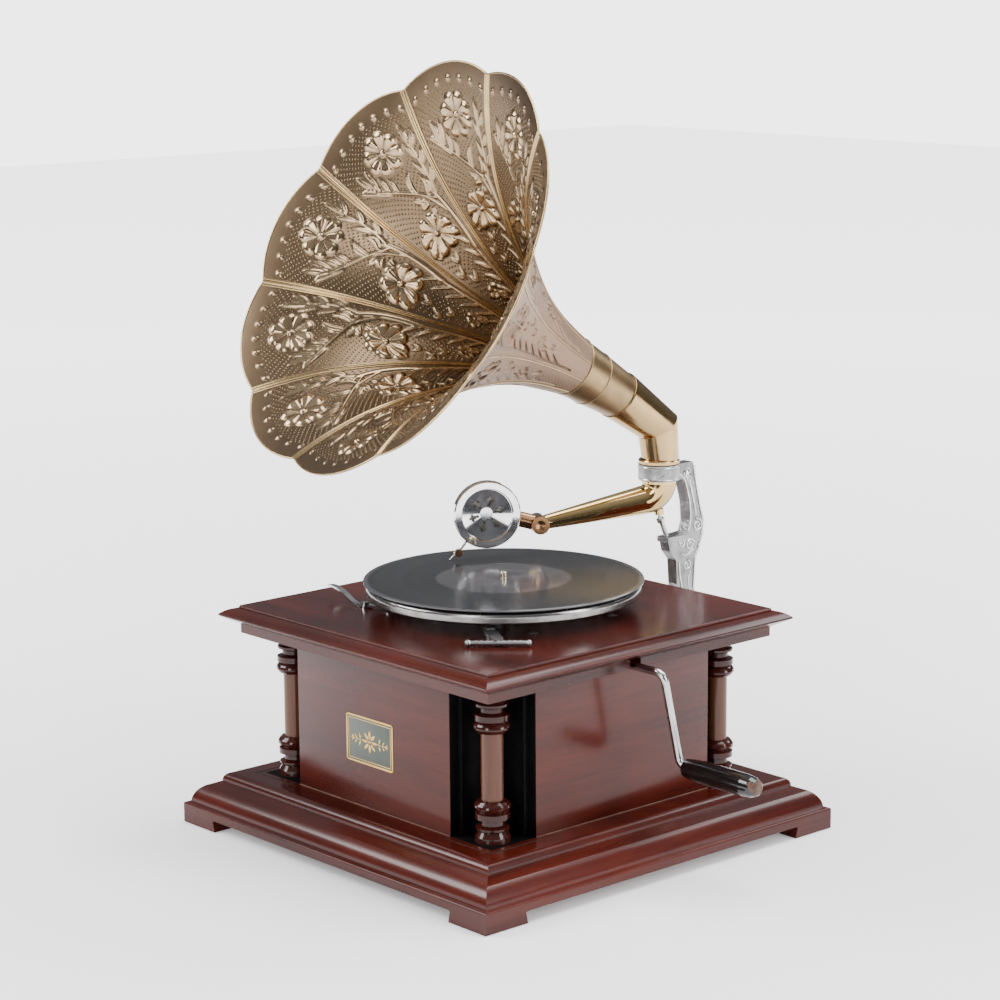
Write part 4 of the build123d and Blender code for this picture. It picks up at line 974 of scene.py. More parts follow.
@dataclass
class Relief:
    """Pressed pattern of one bell panel, on a flat chart of it.

    A place on the chart is its distance from the rim and its share of the panel's half width.
    """

    edge: np.ndarray
    share: np.ndarray
    half: np.ndarray
    height: np.ndarray = field(init=False)
    keep_clear: np.ndarray = field(init=False)

    def __post_init__(self) -> None:
        """Start with a flat chart."""
        self.height = np.zeros_like(self.edge)
        self.keep_clear = np.zeros_like(self.edge)
        self.side = self.share * self.half

    def width_at(self, along: float) -> float:
        """Half width of the panel at a distance from the rim."""
        column = self.edge.shape[1] // 2
        return float(np.interp(along, self.edge[::-1, column], self.half[::-1, column]))

    def spot(self, along: float, share: float) -> tuple[float, float]:
        """Chart place of a point given by its share of the half width."""
        return along, -share * self.width_at(along)

    def raise_to(self, shape: np.ndarray) -> None:
        """Lift the chart where a shape stands higher."""
        self.height = np.maximum(self.height, shape)

    def press(self, item: Flower | Leaf | Stem | Drop) -> None:
        """Press one motif into the chart.

        Args:
            item: the motif.
        """
        if isinstance(item, Flower):
            self.press_flower(item)
        elif isinstance(item, Leaf):
            self.press_leaf(item)
        elif isinstance(item, Stem):
            self.press_stem(item)
        else:
            along, side = self.spot(item.along, item.side)
            away = np.hypot((self.edge - along) * 0.8, self.side - side)
            self.raise_to(item.height * np.sqrt(np.clip(1 - (away / item.radius) ** 2, 0, 1)))
            self.keep_clear = np.maximum(self.keep_clear, away < item.radius + 1.0)

    def press_flower(self, item: Flower) -> None:
        """Press a flower: rounded petals with creases and a centre button."""
        along, side = self.spot(item.along, item.side)
        first, second = self.edge - along, self.side - side
        away = np.hypot(first, second) / item.radius
        turn = np.arctan2(second, first) / tau * item.petals
        local = (turn - np.floor(turn) - 0.5) * 2
        tip = 1.0 - 0.16 * local**2
        across = np.clip(1 - (local / 0.97) ** 2, 0, 1) ** 0.42
        reach = np.clip((away - 0.20) / (0.74 - 0.20), 0, 1)
        fall = np.clip((tip - away) / 0.20, 0, 1) ** 0.5
        crease = 1 - 0.30 * np.exp(-((local / 0.16) ** 2)) * np.clip(1.3 - 1.3 * away, 0, 1)
        petal = item.height * across * (0.25 + 0.75 * reach) * fall * crease * (away > 0.17)
        button = item.height * 1.0 * np.sqrt(np.clip(1 - (away / 0.15) ** 2, 0, 1))
        self.raise_to(np.maximum(petal, button))
        self.keep_clear = np.maximum(self.keep_clear, away < 1.06)

    def press_leaf(self, item: Leaf) -> None:
        """Press a leaf, bowed to one side if its bow isn't zero."""
        start = np.array(self.spot(*item.start))
        end = np.array(self.spot(*item.end))
        run = end - start
        length = float(np.hypot(*run))
        run = run / length
        first = (self.edge - start[0]) * run[0] + (self.side - start[1]) * run[1]
        second = -(self.edge - start[0]) * run[1] + (self.side - start[1]) * run[0]
        share = np.clip(first / length, 0, 1)
        second = second - item.bow * np.sin(pi * share)
        half = item.width / 2 * np.sin(pi * share**0.8) ** 0.75 + 1e-6
        inside = (first > 0) & (first < length) & (np.abs(second) < half)
        dome = np.sqrt(np.clip(1 - (second / half) ** 2, 0, 1))
        vein = 1 - 0.55 * np.exp(-((second / 0.8) ** 2))
        self.raise_to(np.where(inside, 1.45 * item.height * dome * vein, 0))
        near = (first > -1) & (first < length + 1) & (np.abs(second) < half + 1.0)
        self.keep_clear = np.maximum(self.keep_clear, near)

    def press_stem(self, item: Stem) -> None:
        """Press a stem as a round bar along a smooth curve."""
        a, b, c = (np.array(self.spot(*point)) for point in (item.start, item.middle, item.end))
        pull = 2 * b - (a + c) / 2
        nearest = np.full_like(self.edge, 1e9)
        for t in np.linspace(0, 1, 70):
            point = (1 - t) ** 2 * a + 2 * t * (1 - t) * pull + t * t * c
            nearest = np.minimum(nearest, np.hypot(self.edge - point[0], self.side - point[1]))
        self.raise_to(1.35 * item.height * np.sqrt(np.clip(1 - (nearest / item.width) ** 2, 0, 1)))
        self.keep_clear = np.maximum(self.keep_clear, nearest < item.width + 0.8)

    def finish(self, margin: float, border: float) -> tuple[np.ndarray, np.ndarray]:
        """Fade the pattern out at the rim and the seams.

        Args:
            margin: plain strip along the rim.
            border: plain strip along each seam.

        Returns:
            The height and where the ground is stippled, from 0 to 1.
        """
        clear = np.clip((self.half - np.abs(self.side) - border * 0.4) / 1.5, 0, 1)
        height = self.height * clear
        field_share = (1 - self.keep_clear) * (self.edge > margin) * (self.half - np.abs(self.side) > border)
        return height, field_share.astype(float)


@dataclass
class Horn:
    """Bell of ten embossed panels with ribbed seams and a wired rim, and its neck."""

    turn: float = 4.76
    pivot_y: float = 197.7
    start: tuple[float, float] = (105.6, 415.0)
    rise: float = 28.07
    curve: tuple[tuple[float, float], ...] = (
        (0, 27.8), (45, 38.3), (90, 57.5), (130, 82.5), (170, 115.5),
        (200, 149.0), (227, 190.5), (232, 200.0),
    )
    panels: int = 10
    phase: float = 10.0
    seam_rim: float = 186.6
    crest_rim: float = 195.4
    wall: float = 0.8
    rows: int = 250
    columns: int = 92

    def __post_init__(self) -> None:
        """Work out the bell's frame and its outline."""
        out = Vector((-sin(radians(self.turn)), -cos(radians(self.turn)), 0))
        rise = radians(self.rise)
        self.axis = out * cos(rise) + Vector((0, 0, sin(rise)))
        self.throat = (
            Vector((0, self.pivot_y, 0)) + out * self.start[0] + Vector((0, 0, self.start[1]))
        ) * MM
        self.out = out
        self.x_dir = Vector((0, 0, 1)).cross(self.axis).normalized()
        self.y_dir = self.axis.cross(self.x_dir)
        self.length, self.radius = self.outline()
        steps = np.hypot(np.diff(self.length), np.diff(self.radius))
        self.run = np.concatenate([[0.0], np.cumsum(steps)])

    def outline(self) -> tuple[np.ndarray, np.ndarray]:
        """The bell's outline as a smooth curve through its stations.

        Returns:
            Distances along the axis and radii, in millimetres.
        """
        points = np.array(self.curve, dtype=float)
        chord = np.concatenate([[0.0], np.cumsum(np.hypot(*np.diff(points, axis=0).T))])
        count = len(points)
        system = np.zeros((count, count))
        right = np.zeros((count, 2))
        step = np.diff(chord)
        slope = np.diff(points, axis=0) / step[:, None]
        system[0, :2] = (2, 1)
        right[0] = 3 * slope[0]
        system[-1, -2:] = (1, 2)
        right[-1] = 3 * slope[-1]
        for index in range(1, count - 1):
            system[index, index - 1:index + 2] = (
                step[index], 2 * (step[index - 1] + step[index]), step[index - 1],
            )
            right[index] = 3 * (step[index] * slope[index - 1] + step[index - 1] * slope[index])
        tangent = np.linalg.solve(system, right)
        dense = []
        for index in range(count - 1):
            t = np.linspace(0, 1, 60, endpoint=index == count - 2)[:, None]
            h00, h10 = 2 * t**3 - 3 * t**2 + 1, t**3 - 2 * t**2 + t
            h01, h11 = -2 * t**3 + 3 * t**2, t**3 - t**2
            dense.append(
                h00 * points[index] + h10 * step[index] * tangent[index]
                + h01 * points[index + 1] + h11 * step[index] * tangent[index + 1]
            )
        line = np.concatenate(dense)
        return line[:, 0], line[:, 1]

    def rim_radius(self, angle: np.ndarray) -> np.ndarray:
        """Radius of the petal edge.

        Args:
            angle: angle from the panel's middle, in radians.

        Returns:
            The radius there, in millimetres.
        """
        half = pi / self.panels
        x, y = self.seam_rim * cos(half), self.seam_rim * sin(half)
        centre = (self.crest_rim**2 - x * x - y * y) / (2 * (self.crest_rim - x))
        arc = self.crest_rim - centre
        return centre * np.cos(angle) + np.sqrt(arc**2 - (centre * np.sin(angle)) ** 2)

    def point(self, run: np.ndarray, angle: np.ndarray, lift: np.ndarray | float = 0.0) -> np.ndarray:
        """Places on the bell.

        Args:
            run: distance along the outline from the throat.
            angle: angle round the axis, in radians.
            lift: distance inside the outer face.

        Returns:
            Points in metres.
        """
        along = np.interp(run, self.run, self.length)
        radius = np.interp(run, self.run, self.radius)
        ahead = np.interp(run + 0.5, self.run, self.radius) - np.interp(run - 0.5, self.run, self.radius)
        forward = np.interp(run + 0.5, self.run, self.length) - np.interp(run - 0.5, self.run, self.length)
        size = np.hypot(ahead, forward) + 1e-9
        along = along + lift * ahead / size
        radius = radius - lift * forward / size
        axis, x_dir, y_dir = (np.array(v) for v in (self.axis, self.x_dir, self.y_dir))
        spread = np.cos(angle)[..., None] * x_dir + np.sin(angle)[..., None] * y_dir
        return np.array(self.throat) + (along[..., None] * axis + radius[..., None] * spread) * MM

    def motifs(self) -> list[Flower | Leaf | Stem | Drop]:
        """Everything pressed into one panel."""
        items: list[Flower | Leaf | Stem | Drop] = [
            Flower(47, 0.06, 21.0, 2.4),
            Flower(134, -0.12, 20.5, 2.5),
            Flower(208, -0.10, 8.0, 1.3, 6),
            Stem((266, 0.62), (210, 0.70), (160, 0.66), 1.8, 0.9),
            Stem((160, 0.66), (126, 0.72), (100, 0.60), 2.4, 1.1),
            Stem((106, 0.66), (94, 0.12), (66, -0.56), 1.7, 1.0),
            Stem((102, 0.62), (76, 0.70), (46, 0.62), 1.6, 0.9),
            Stem((124, 0.70), (108, 0.45), (100, 0.26), 1.4, 0.8),
            Leaf((100, 0.42), (80, 0.50), 8.5, 1.2, 4.0),
            Leaf((96, 0.16), (74, 0.30), 7.0, 1.1, -3.0),
            Leaf((107, 0.30), (112, 0.02), 8.0, 1.2, 1.5),
            Leaf((104, 0.26), (99, -0.04), 6.5, 1.1, -1.0),
            Leaf((112, 0.34), (121, 0.24), 6.0, 1.0),
        ]
        for start, end, width in (
            ((84, -0.20), (66, -0.18), 5.5),
            ((78, -0.34), (58, -0.34), 5.8),
            ((70, -0.50), (44, -0.46), 6.0),
            ((66, -0.56), (40, -0.66), 6.2),
            ((70, -0.52), (52, -0.80), 5.8),
            ((80, -0.34), (66, -0.62), 5.4),
            ((90, 0.70), (72, 0.86), 5.2),
            ((84, 0.66), (66, 0.50), 5.6),
            ((72, 0.68), (54, 0.84), 5.2),
            ((66, 0.66), (48, 0.50), 5.6),
            ((54, 0.66), (36, 0.80), 5.0),
            ((50, 0.64), (28, 0.58), 5.8),
        ):
            items.append(Leaf(start, end, width, 1.15, 1.2))
        for step in range(7):
            along = 158 + 15 * step
            way = -0.42 - 0.03 * step
            items.append(Leaf((along, 0.64), (along - 13, 0.64 + way), 4.6, 1.1, 1.0))
        for along, side in (
            (150, -0.62), (166, -0.30), (176, -0.62), (190, -0.35), (222, 0.05), (236, -0.30),
        ):
            items.append(Leaf((along, side), (along - 9, side + 0.22), 4.2, 1.0))
            items.append(Leaf((along, side), (along - 10, side - 0.12), 3.8, 1.0))
        for step in range(7):
            place = (step - 3) / 3
            items.append(Drop(14.5 + 2.5 * abs(place), place * 0.80, 2.3, 1.2))
        return items

    def build(self) -> None:
        """Make the bell and dress the neck."""
        inside = EmbossedBrass("embossed_brass").build()
        outside = EmbossedBrass(
            "embossed_brass_back", (0.20, 0.125, 0.080), (0.30, 0.20, 0.135), 0.38, 3.2, 0.35
        ).build()
        ribbed = Brass("rib_brass", (0.47, 0.335, 0.175), (0.25, 0.16, 0.08), 0.7, 0.22).build()
        neck = Brass("neck_brass", (0.33, 0.225, 0.115), (0.18, 0.115, 0.06), 0.7, 0.30, 0.08).build()
        polished = Brass("polished_brass", (0.46, 0.31, 0.15), (0.27, 0.165, 0.07), 0.5, 0.16, 0.03).build()
        for index in range(self.panels):
            self.panel(index, inside, outside)
            self.rib(index, ribbed)
        self.rim_wire(ribbed)
        dress(neck, "horn_tail")
        dress(polished, "horn_elbow", "horn_lip_ring")
        self.seam_rings(neck)

    def panel(self, index: int, inside: bpy.types.Material, outside: bpy.types.Material) -> None:
        """One tenth of the bell, pressed with its pattern.

        Args:
            index: which panel.
            inside: finish of its inner face.
            outside: finish of its back.
        """
        half = pi / self.panels
        share = np.linspace(-1, 1, self.columns)
        local = share * half
        end = np.interp(self.rim_radius(local), self.radius, self.run)
        rows = np.linspace(0, 1, self.rows)[:, None]
        run = rows * end[None, :]
        radius = np.interp(run, self.run, self.radius)
        chart = Relief(end[None, :] - run, np.broadcast_to(share[None, :], run.shape), radius * half)
        for item in self.motifs():
            chart.press(item)
        height, field_share = chart.finish(20.0, 4.5)
        fade = np.clip(run / 14.0, 0, 1)
        height = height * fade
        angle = radians(self.phase) + half + 2 * half * index + local
        angle = np.broadcast_to(angle[None, :], run.shape)
        piece = sheet_of(self.point(run, angle, self.wall + height))
        self.write_chart(piece, height, field_share, chart)
        piece.data.materials.append(inside)
        piece.data.materials.append(outside)
        wall = piece.modifiers.new("wall", "SOLIDIFY")
        wall.thickness = self.wall * MM
        wall.offset = self.wall_side(piece)
        wall.material_offset = 1
        wall.material_offset_rim = 0
        apply_modifiers(piece)
        smooth(piece, 60)
        name = f"horn_gore_{index + 1:02d}"
        settle(piece, name, inside, Body.HORN)
        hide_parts(f"horn_panel_{index + 1:02d}")

    def wall_side(self, piece: bpy.types.Object) -> float:
        """Make the sheet's faces look inside the bell and give the wall's direction for Solidify."""
        middle = piece.data.polygons[len(piece.data.polygons) // 2]
        to_axis = self.throat + self.axis * (middle.center - self.throat).dot(self.axis) - middle.center
        if middle.normal.dot(to_axis) < 0:
            piece.data.flip_normals()
        return -1.0

    def write_chart(
        self, piece: bpy.types.Object, height: np.ndarray, field_share: np.ndarray, chart: Relief
    ) -> None:
        """Keep the pattern's height, the stippled ground and the flat chart on the mesh.

        Args:
            piece: the panel's sheet.
            height: height of the pattern at each point.
            field_share: where the ground is stippled.
            chart: the panel's chart.
        """
        mesh = piece.data
        relief = mesh.attributes.new("relief", "FLOAT", "POINT")
        relief.data.foreach_set("value", np.clip(height / 1.6, 0, 1).reshape(-1).astype(np.float32))
        ground = mesh.attributes.new("stipple", "FLOAT", "POINT")
        ground.data.foreach_set("value", field_share.reshape(-1).astype(np.float32))
        layer = mesh.uv_layers[0] if mesh.uv_layers else mesh.uv_layers.new(name="panel")
        layer.name = "panel"
        corners = np.zeros(len(mesh.loops), dtype=np.int32)
        mesh.loops.foreach_get("vertex_index", corners)
        flat = np.stack([chart.side.reshape(-1), chart.edge.reshape(-1)], axis=1) * MM
        layer.data.foreach_set("uv", flat[corners].reshape(-1).astype(np.float32))

    def rib(self, index: int, material: bpy.types.Material) -> None:
        """Triple beaded rib over a seam, inside, and a low fold outside.

        Args:
            index: which seam.
            material: its finish.
        """
        angle = radians(self.phase) + tau / self.panels * index
        rows = 150
        end = float(np.interp(self.seam_rim, self.radius, self.run)) - 0.4
        run = np.linspace(2.0, end, rows)
        radius = np.interp(run, self.run, self.radius)
        width = np.clip(radius * 0.026, 1.6, 4.2)
        places = np.linspace(-1, 1, 25)
        bead = 1.35 * np.sqrt(np.clip(1 - (places / 0.34) ** 2, 0, 1))
        side_bead = 0.85 * np.sqrt(np.clip(1 - ((np.abs(places) - 0.72) / 0.26) ** 2, 0, 1))
        over = np.maximum(np.maximum(bead, side_bead), 0.12)
        over[[0, -1]] = -0.2
        loops = []
        for place, lift in [*zip(places, self.wall + over), *zip(places[::-1], np.full(25, self.wall * 0.5))]:
            loops.append((place, lift))
        grid = np.zeros((rows, len(loops), 3))
        for column, (place, lift) in enumerate(loops):
            turn = angle + place * width / radius
            grid[:, column] = self.point(run, turn, np.full(rows, lift))
        inner = sheet_of(grid, close_across=True)
        close_ends(inner)
        smooth(inner, 50)
        spine = self.point(run, np.full(rows, angle), np.full(rows, 0.0))
        axis = tuple(self.axis.cross(self.x_dir * cos(angle) + self.y_dir * sin(angle)))
        fold = tube(spine, 0.75 * MM, sides=8, up=axis)
        piece = settle(joined([inner, fold]), f"horn_rib_{index + 1:02d}", material, Body.HORN)

    def rim_wire(self, material: bpy.types.Material) -> None:
        """Rolled wire round the petal edge.

        Args:
            material: its finish.
        """
        half = pi / self.panels
        local = np.linspace(-half, half, 24, endpoint=False)
        lines = []
        for index in range(self.panels):
            end = np.interp(self.rim_radius(local), self.radius, self.run)
            angle = radians(self.phase) + half + 2 * half * index + local
            lines.append(self.point(end - 0.6, angle, np.full(len(local), 0.4)))
        wire = tube(np.concatenate(lines), 0.95 * MM, closed=True, sides=10, up=tuple(self.axis))
        settle(wire, "horn_rim_wire", material, Body.HORN)

    def seam_rings(self, material: bpy.types.Material) -> None:
        """Thin soldered rings where the neck's tubes meet.

        Args:
            material: their finish.
        """
        rings = []
        for (reach, height), radius, tilt in (
            ((105.0, 414.7), 28.0, self.rise),
            ((82.4, 401.2), 26.0, 30.4),
            ((50.5, 382.5), 22.9, 33.0),
        ):
            rise = radians(tilt)
            way = self.out * cos(rise) + Vector((0, 0, sin(rise)))
            centre = (Vector((0, self.pivot_y, 0)) + self.out * reach + Vector((0, 0, height))) * MM
            bead = [(radius - 0.3, -0.7), (radius + 0.35, -0.5), (radius + 0.6, 0.0), (radius + 0.35, 0.5),
                    (radius - 0.3, 0.7)]
            rings.append(turned_ring(bead, centre, way, 72))
        piece = settle(joined(rings), "neck_seam_rings", material, Body.HORN)


# ---------------------------------------------------------------- bracket, arm and soundbox
@dataclass
class Bracket:
    """Cast bracket behind the cabinet with raised scrolls, and the pivot pin."""

    half_w: float = 6.0

    def build(self) -> None:
        """Dress the casting and add its relief."""
        cast = Plate("cast_metal", (0.28, 0.28, 0.285), (0.12, 0.12, 0.125), 0.22, 150.0, 0.8).build()
        bright = Plate("bright_cast", (0.74, 0.74, 0.74), (0.42, 0.42, 0.43), 0.14, 150.0, 0.3).build()
        steel = Plate("thread_steel", (0.55, 0.55, 0.56), (0.25, 0.24, 0.24), 0.28, 500.0, 0.3).build()
        dress(cast, "horn_bracket")
        dress(steel, "pivot_pin", "bracket_screws")
        self.relief(bright)
        self.pin_threads(steel)

    def line(
        self, points: list[tuple[float, float]], face: float, start: float, end: float
    ) -> bpy.types.Object:
        """A raised bead on one side of the casting.

        Args:
            points: (y, z) places along it.
            face: the side's x.
            start: radius at its start.
            end: radius at its end.

        Returns:
            The bead.
        """
        control = np.array([(face, y, z) for y, z in points], dtype=float)
        share = np.linspace(0, 1, len(control))
        dense = np.linspace(0, 1, max(24, len(control) * 6))
        path = np.stack([np.interp(dense, share, control[:, axis]) for axis in range(3)], axis=1)
        for _ in range(4):
            path[1:-1] = (path[:-2] + 2 * path[1:-1] + path[2:]) / 4
        return tube(path * MM, np.linspace(start, end, len(path)) * MM, sides=8, up=(1, 0, 0))

    def scroll(
        self, centre: tuple[float, float], radius: float, start: float, turns: float, face: float, bead: float
    ) -> bpy.types.Object:
        """A spiral bead on one side of the casting.

        Args:
            centre: (y, z) of its eye.
            radius: its outer radius.
            start: angle at its outer end.
            turns: number of turns inwards.
            face: the side's x.
            bead: radius of the bead.

        Returns:
            The spiral.
        """
        share = np.linspace(0, 1, 46)
        angle = start + turns * tau * share
        reach = radius * (1 - 0.82 * share)
        path = np.stack(
            [np.full(46, face), centre[0] + reach * np.cos(angle), centre[1] + reach * np.sin(angle)], axis=1
        )
        return tube(path * MM, np.linspace(bead, bead * 0.6, 46) * MM, sides=8, up=(1, 0, 0))

    def relief(self, bright: bpy.types.Material) -> None:
        """Outlines, flutes, a boss, scrolls and leaves on both sides.

        Args:
            bright: their finish.
        """
        beads = []
        for side in (-1, 1):
            face = side * self.half_w
            beads.append(self.line(
                [
                    (238.5, 305), (239.5, 296), (246, 268.6), (251.5, 249.6),
                    (250, 236), (240, 214), (238.6, 186),
                ],
                face, 1.3, 1.3,
            ))
            beads.append(self.line(
                [(219, 300), (226.5, 293), (233, 271), (234.5, 252.5), (231.5, 243)], face, 1.2, 1.0,
            ))
            beads.append(self.line([(232, 292), (239, 268), (241.5, 256)], face, 1.6, 0.8))
            beads.append(self.line([(227, 299), (233, 285)], face, 1.0, 0.6))
            beads.append(self.scroll((243.5, 247.0), 6.6, 1.9, -1.6, face, 1.25))
            beads.append(self.scroll((234.0, 229.0), 6.0, 0.4, 1.5, face, 1.1))
            beads.append(self.scroll((222.5, 231.5), 4.6, 2.8, -1.4, face, 1.0))
            beads.append(self.scroll((229.0, 210.0), 5.2, 1.2, -1.4, face, 1.0))
            beads.append(self.line([(222, 222), (229, 219), (238, 224)], face, 0.9, 0.5))
            beads.append(self.line([(218.5, 214), (220, 200), (223, 188)], face, 1.2, 1.0))
            beads.append(self.line([(234, 203), (231, 194), (233, 185)], face, 0.9, 0.6))
            axis = Vector((side, 0, 0))
            for outline in (
                [(0, -0.4), (0, 1.6), (1.4, 1.45), (2.4, 0.9), (2.7, -0.4)],
                [(3.6, -0.4), (3.8, 0.5), (4.4, 0.9), (5.0, 0.5), (5.2, -0.4)],
            ):
                shape = [(max(radius, 0.02), along) for radius, along in outline]
                beads.append(turned_ring(shape, Vector((face, 229.5, 299.5)) * MM, axis, 28))
        for height in (298.6, 310.2):
            ring = [(19.3, -0.8), (19.75, -0.5), (19.95, 0.0), (19.75, 0.5), (19.3, 0.8)]
            beads.append(turned_ring(ring, Vector((0, 197.7, height)) * MM, Vector((0, 0, 1)), 72))
        piece = settle(joined(beads), "bracket_relief", bright, Body.CABINET)

    def pin_threads(self, steel: bpy.types.Material) -> None:
        """Rings that stand for the pin's thread.

        Args:
            steel: their finish.
        """
        base, tip = Vector((0, 208.0, 240.0)), Vector((0, 197.7, 262.0))
        along = (tip - base).normalized()
        rings = []
        length = (tip - base).length - 10.5
        count = int(length / 1.1)
        for index in range(count):
            at = (base + along * (0.8 + 1.1 * index)) * MM
            rings.append(turned_ring([(2.0, -0.4), (2.4, 0.0), (2.0, 0.4)], at, along, 20))
        piece = settle(joined(rings), "pivot_pin_thread", steel, Body.CABINET)


@dataclass
class ToneArm:
    """Hollow brass arm with its bend and its hinge barrel."""

    def build(self) -> None:
        """Dress the arm."""
        polished = Brass("arm_brass", (0.62, 0.44, 0.20), (0.36, 0.22, 0.08), 0.45, 0.10, 0.03).build()
        dress(polished, "tone_arm")


@dataclass
class Soundbox:
    """Round soundbox on its gooseneck, with the needle."""

    def build(self) -> None:
        """Dress the soundbox."""
        brown = Brass("gooseneck_brass", (0.42, 0.235, 0.12), (0.24, 0.12, 0.055), 0.6, 0.24, 0.04).build()
        chrome = Plate("soundbox_chrome", (0.86, 0.86, 0.87), (0.66, 0.66, 0.67), 0.045, 300.0, 0.01).build()
        dark = Plate("soundbox_dish", (0.80, 0.80, 0.82), (0.60, 0.60, 0.62), 0.05, 300.0, 0.01).build()
        steel = Plate("needle_steel", (0.60, 0.60, 0.62), (0.35, 0.35, 0.36), 0.18).build()
        rubber = Coated("gasket_rubber", (0.015, 0.014, 0.013), (0.03, 0.028, 0.026), 0.7).build()
        dress(brown, "gooseneck", "needle_screw")
        dress(chrome, "soundbox_case", "soundbox_bezel", "stylus_bar")
        dress(dark, "soundbox_grille")
        dress(steel, "needle")
        dress(rubber, "diaphragm_gaskets")
        dress(Mica("mica").build(), "diaphragm")


# ---------------------------------------------------------------- turntable and controls
@dataclass
class Turntable:
    """Platter, felt, record and spindle."""

    def build(self) -> None:
        """Dress the turntable."""
        chrome = Plate("platter_steel", (0.26, 0.25, 0.245), (0.13, 0.125, 0.12), 0.16, 300.0, 0.06).build()
        spindle = Plate("spindle_metal", (0.66, 0.58, 0.44), (0.40, 0.34, 0.24), 0.22).build()
        felt = Coated("felt", (0.03, 0.05, 0.03), (0.05, 0.075, 0.05), 0.95, 900.0, 0.6).build()
        dress(chrome, "platter")
        dress(spindle, "spindle")
        dress(felt, "platter_felt")
        dress(Shellac("shellac").build(), "record")


@dataclass
class Controls:
    """Brake, speed regulator and crank."""

    def build(self) -> None:
        """Dress the brake, the regulator and the crank."""
        chrome = Plate("control_chrome", (0.52, 0.52, 0.53), (0.26, 0.26, 0.26), 0.10, 220.0, 0.05).build()
        strap = Plate("strap_steel", (0.36, 0.36, 0.37), (0.16, 0.15, 0.15), 0.26, 220.0, 0.12).build()
        felt = Coated("brake_felt", (0.11, 0.09, 0.07), (0.17, 0.14, 0.11), 0.95, 900.0, 0.6).build()
        dress(chrome, "crank_rod", "brake_lever", "brake_base")
        dress(strap, "speed_lever", "crank_ferrule")
        dress(felt, "brake_pad")
        low, high = (Vector(corner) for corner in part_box("crank_grip"))
        start = Vector((low.x, (low.y + high.y) / 2, (low.z + high.z) / 2))
        grip = WornGrip("grip_paint", (high.x - low.x) + 0.0065, Vector((1, 0, 0)), start).build()
        dress(grip, "crank_grip")


@dataclass
class Motor:
    """Spring motor under the lid."""

    def build(self) -> None:
        """Dress the motor."""
        iron = Plate("motor_iron", (0.30, 0.30, 0.31), (0.14, 0.13, 0.13), 0.38, 180.0, 0.25).build()
        steel = Plate("motor_steel", (0.52, 0.52, 0.54), (0.28, 0.28, 0.29), 0.22, 260.0, 0.1).build()
        brass = Brass("motor_brass", (0.58, 0.40, 0.17), (0.34, 0.21, 0.08), 0.6, 0.26).build()
        dress(iron, "motor_frame", "spring_barrel")
        dress(steel, "mainspring", "winding_arbor", "motor_screws")
        dress(brass, "intermediate_wheel", "governor")


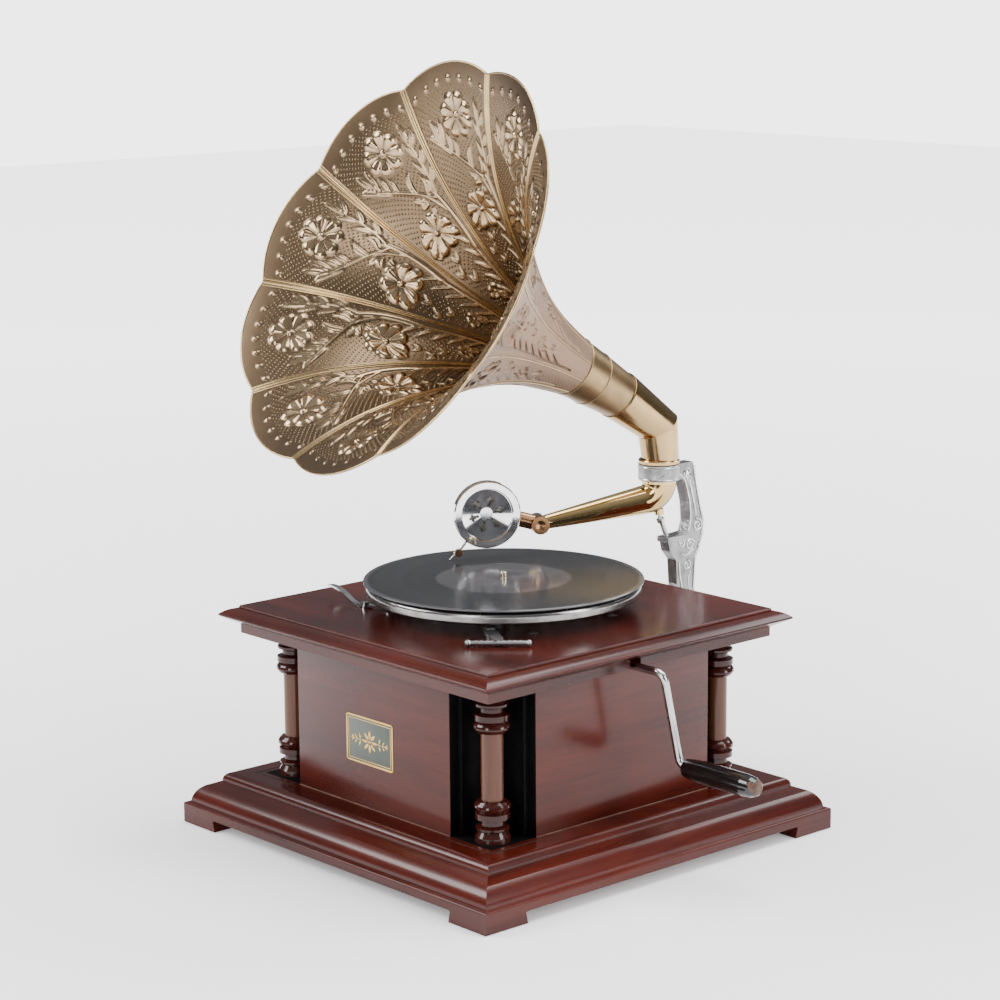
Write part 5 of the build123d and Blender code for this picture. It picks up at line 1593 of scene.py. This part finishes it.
# ---------------------------------------------------------------- room
@dataclass
class Studio:
    """Pale floor, soft lights and the camera."""

    azimuth: float = 48.3
    elevation: float = 11.26
    roll: float = -0.45
    target: Point = (-2.64, -1.25, 303.67)
    distance: float = 2534.1
    lens: float = 101.52

    def build(self) -> None:
        """Make the room."""
        self.camera()
        self.floor()
        self.world()
        self.lamp("key", (-1.5, -1.7, 1.9), (0, 0, 0.32), (1.5, 1.5), 95.0)
        self.lamp("side", (2.3, 0.9, 1.2), (0, 0, 0.2), (0.8, 1.6), 55.0)
        self.lamp("front", (1.0, -2.8, 1.1), (0, 0, 0.3), (0.8, 1.6), 42.0)
        self.lamp("top", (0.3, 0.6, 2.5), (0, 0, 0.2), (2.0, 2.0), 95.0)
        self.lamp("back", (0.4, 2.9, 2.2), (0, 0, 0.4), (1.2, 1.2), 40.0)

    def camera(self) -> None:
        """Make the camera."""
        turn, rise, tip = (radians(value) for value in (self.azimuth, self.elevation, self.roll))
        back = Vector((sin(turn) * cos(rise), -cos(turn) * cos(rise), sin(rise)))
        right = (-back).cross(Vector((0, 0, 1))).normalized()
        up = right.cross(-back)
        across = right * cos(tip) + up * sin(tip)
        over = up * cos(tip) - right * sin(tip)
        data = bpy.data.cameras.new("camera")
        data.lens = self.lens
        data.sensor_width = 36.0
        data.clip_end = 50.0
        camera = bpy.data.objects.new("camera", data)
        bpy.context.collection.objects.link(camera)
        place = (Vector(self.target) + back * self.distance) * MM
        camera.matrix_world = Matrix.Translation(place) @ Matrix((across, over, back)).transposed().to_4x4()
        bpy.context.scene.camera = camera

    def floor(self) -> None:
        """Make the flat floor; it has a painted glow, an emission that is faint near the phonograph and rises
        with distance, so the floor turns white far behind it.
        """
        clear_selection()
        bpy.ops.mesh.primitive_plane_add(size=14.0, location=(0, 0, -0.0005))
        floor = bpy.context.active_object
        floor.name = "studio_floor"
        sheet = NodeSheet("studio_paper")
        x, y, _ = sheet.split(sheet.place())
        squared = sheet.calc("ADD", sheet.calc("MULTIPLY", x, x), sheet.calc("MULTIPLY", y, y))
        away = sheet.calc("SQRT", squared)
        fibres = sheet.noise(sheet.place(), 60.0, 3.0, 0.6)
        sheet.shade(
            Base_Color=sheet.ramp(fibres, (0.3, (0.88, 0.88, 0.88)), (0.7, (0.91, 0.91, 0.91))),
            Roughness=0.85,
            Emission_Color=(1.0, 1.0, 1.0),
            # painted glow: the floor emits light, 0.25 up to 0.4 m from the middle, rising to 2.8 at 3.2 m
            Emission_Strength=sheet.span(away, 0.4, 3.2, 0.25, 2.8),
        )
        floor.data.materials.append(sheet.material)

    def world(self) -> None:
        """Soft pale light from all round, a little darker low down."""
        world = bpy.data.worlds.new("studio_air")
        world.use_nodes = True
        tree = world.node_tree
        back = tree.nodes["Background"]
        place = tree.nodes.new("ShaderNodeTexCoord")
        parts = tree.nodes.new("ShaderNodeSeparateXYZ")
        shade = tree.nodes.new("ShaderNodeValToRGB")
        tree.links.new(place.outputs["Generated"], parts.inputs[0])
        tree.links.new(parts.outputs[2], shade.inputs[0])
        shade.color_ramp.elements[0].position = 0.0
        shade.color_ramp.elements[0].color = (0.08, 0.08, 0.085, 1.0)
        shade.color_ramp.elements[1].position = 0.9
        shade.color_ramp.elements[1].color = (0.60, 0.61, 0.63, 1.0)
        sight = tree.nodes.new("ShaderNodeLightPath")
        mix = tree.nodes.new("ShaderNodeMix")
        mix.data_type = "RGBA"
        mix.inputs[7].default_value = (4.0, 4.0, 4.0, 1.0)
        tree.links.new(sight.outputs["Is Camera Ray"], mix.inputs[0])
        tree.links.new(shade.outputs[0], mix.inputs[6])
        tree.links.new(mix.outputs[2], back.inputs[0])
        back.inputs[1].default_value = 1.0
        bpy.context.scene.world = world

    def lamp(self, name: str, place: Point, aim: Point, size: tuple[float, float], power: float) -> None:
        """Make one softbox.

        Args:
            name: its name.
            place: where it stands, in metres.
            aim: what it points at.
            size: width and height, in metres.
            power: its power in watts.
        """
        data = bpy.data.lights.new(f"softbox_{name}", "AREA")
        data.shape = "RECTANGLE"
        data.size, data.size_y = size
        data.energy = power
        lamp = bpy.data.objects.new(f"softbox_{name}", data)
        bpy.context.collection.objects.link(lamp)
        lamp.location = place
        lamp.rotation_euler = (Vector(aim) - Vector(place)).to_track_quat("-Z", "Y").to_euler()


def main() -> None:
    """Build and dress every part."""
    logging.basicConfig(level=logging.INFO, format="%(name)s: %(message)s")
    for part in (
        Studio(), Cabinet(), Horn(), Bracket(), ToneArm(), Soundbox(), Turntable(), Controls(), Motor(),
    ):
        part.build()
        LOG.info("built %s", type(part).__name__)
    for piece in bpy.data.objects:
        if piece.type == "MESH":
            LOG.info("piece %s has %d faces", piece.name, len(piece.data.polygons))


if __name__ == "__main__":
    main()
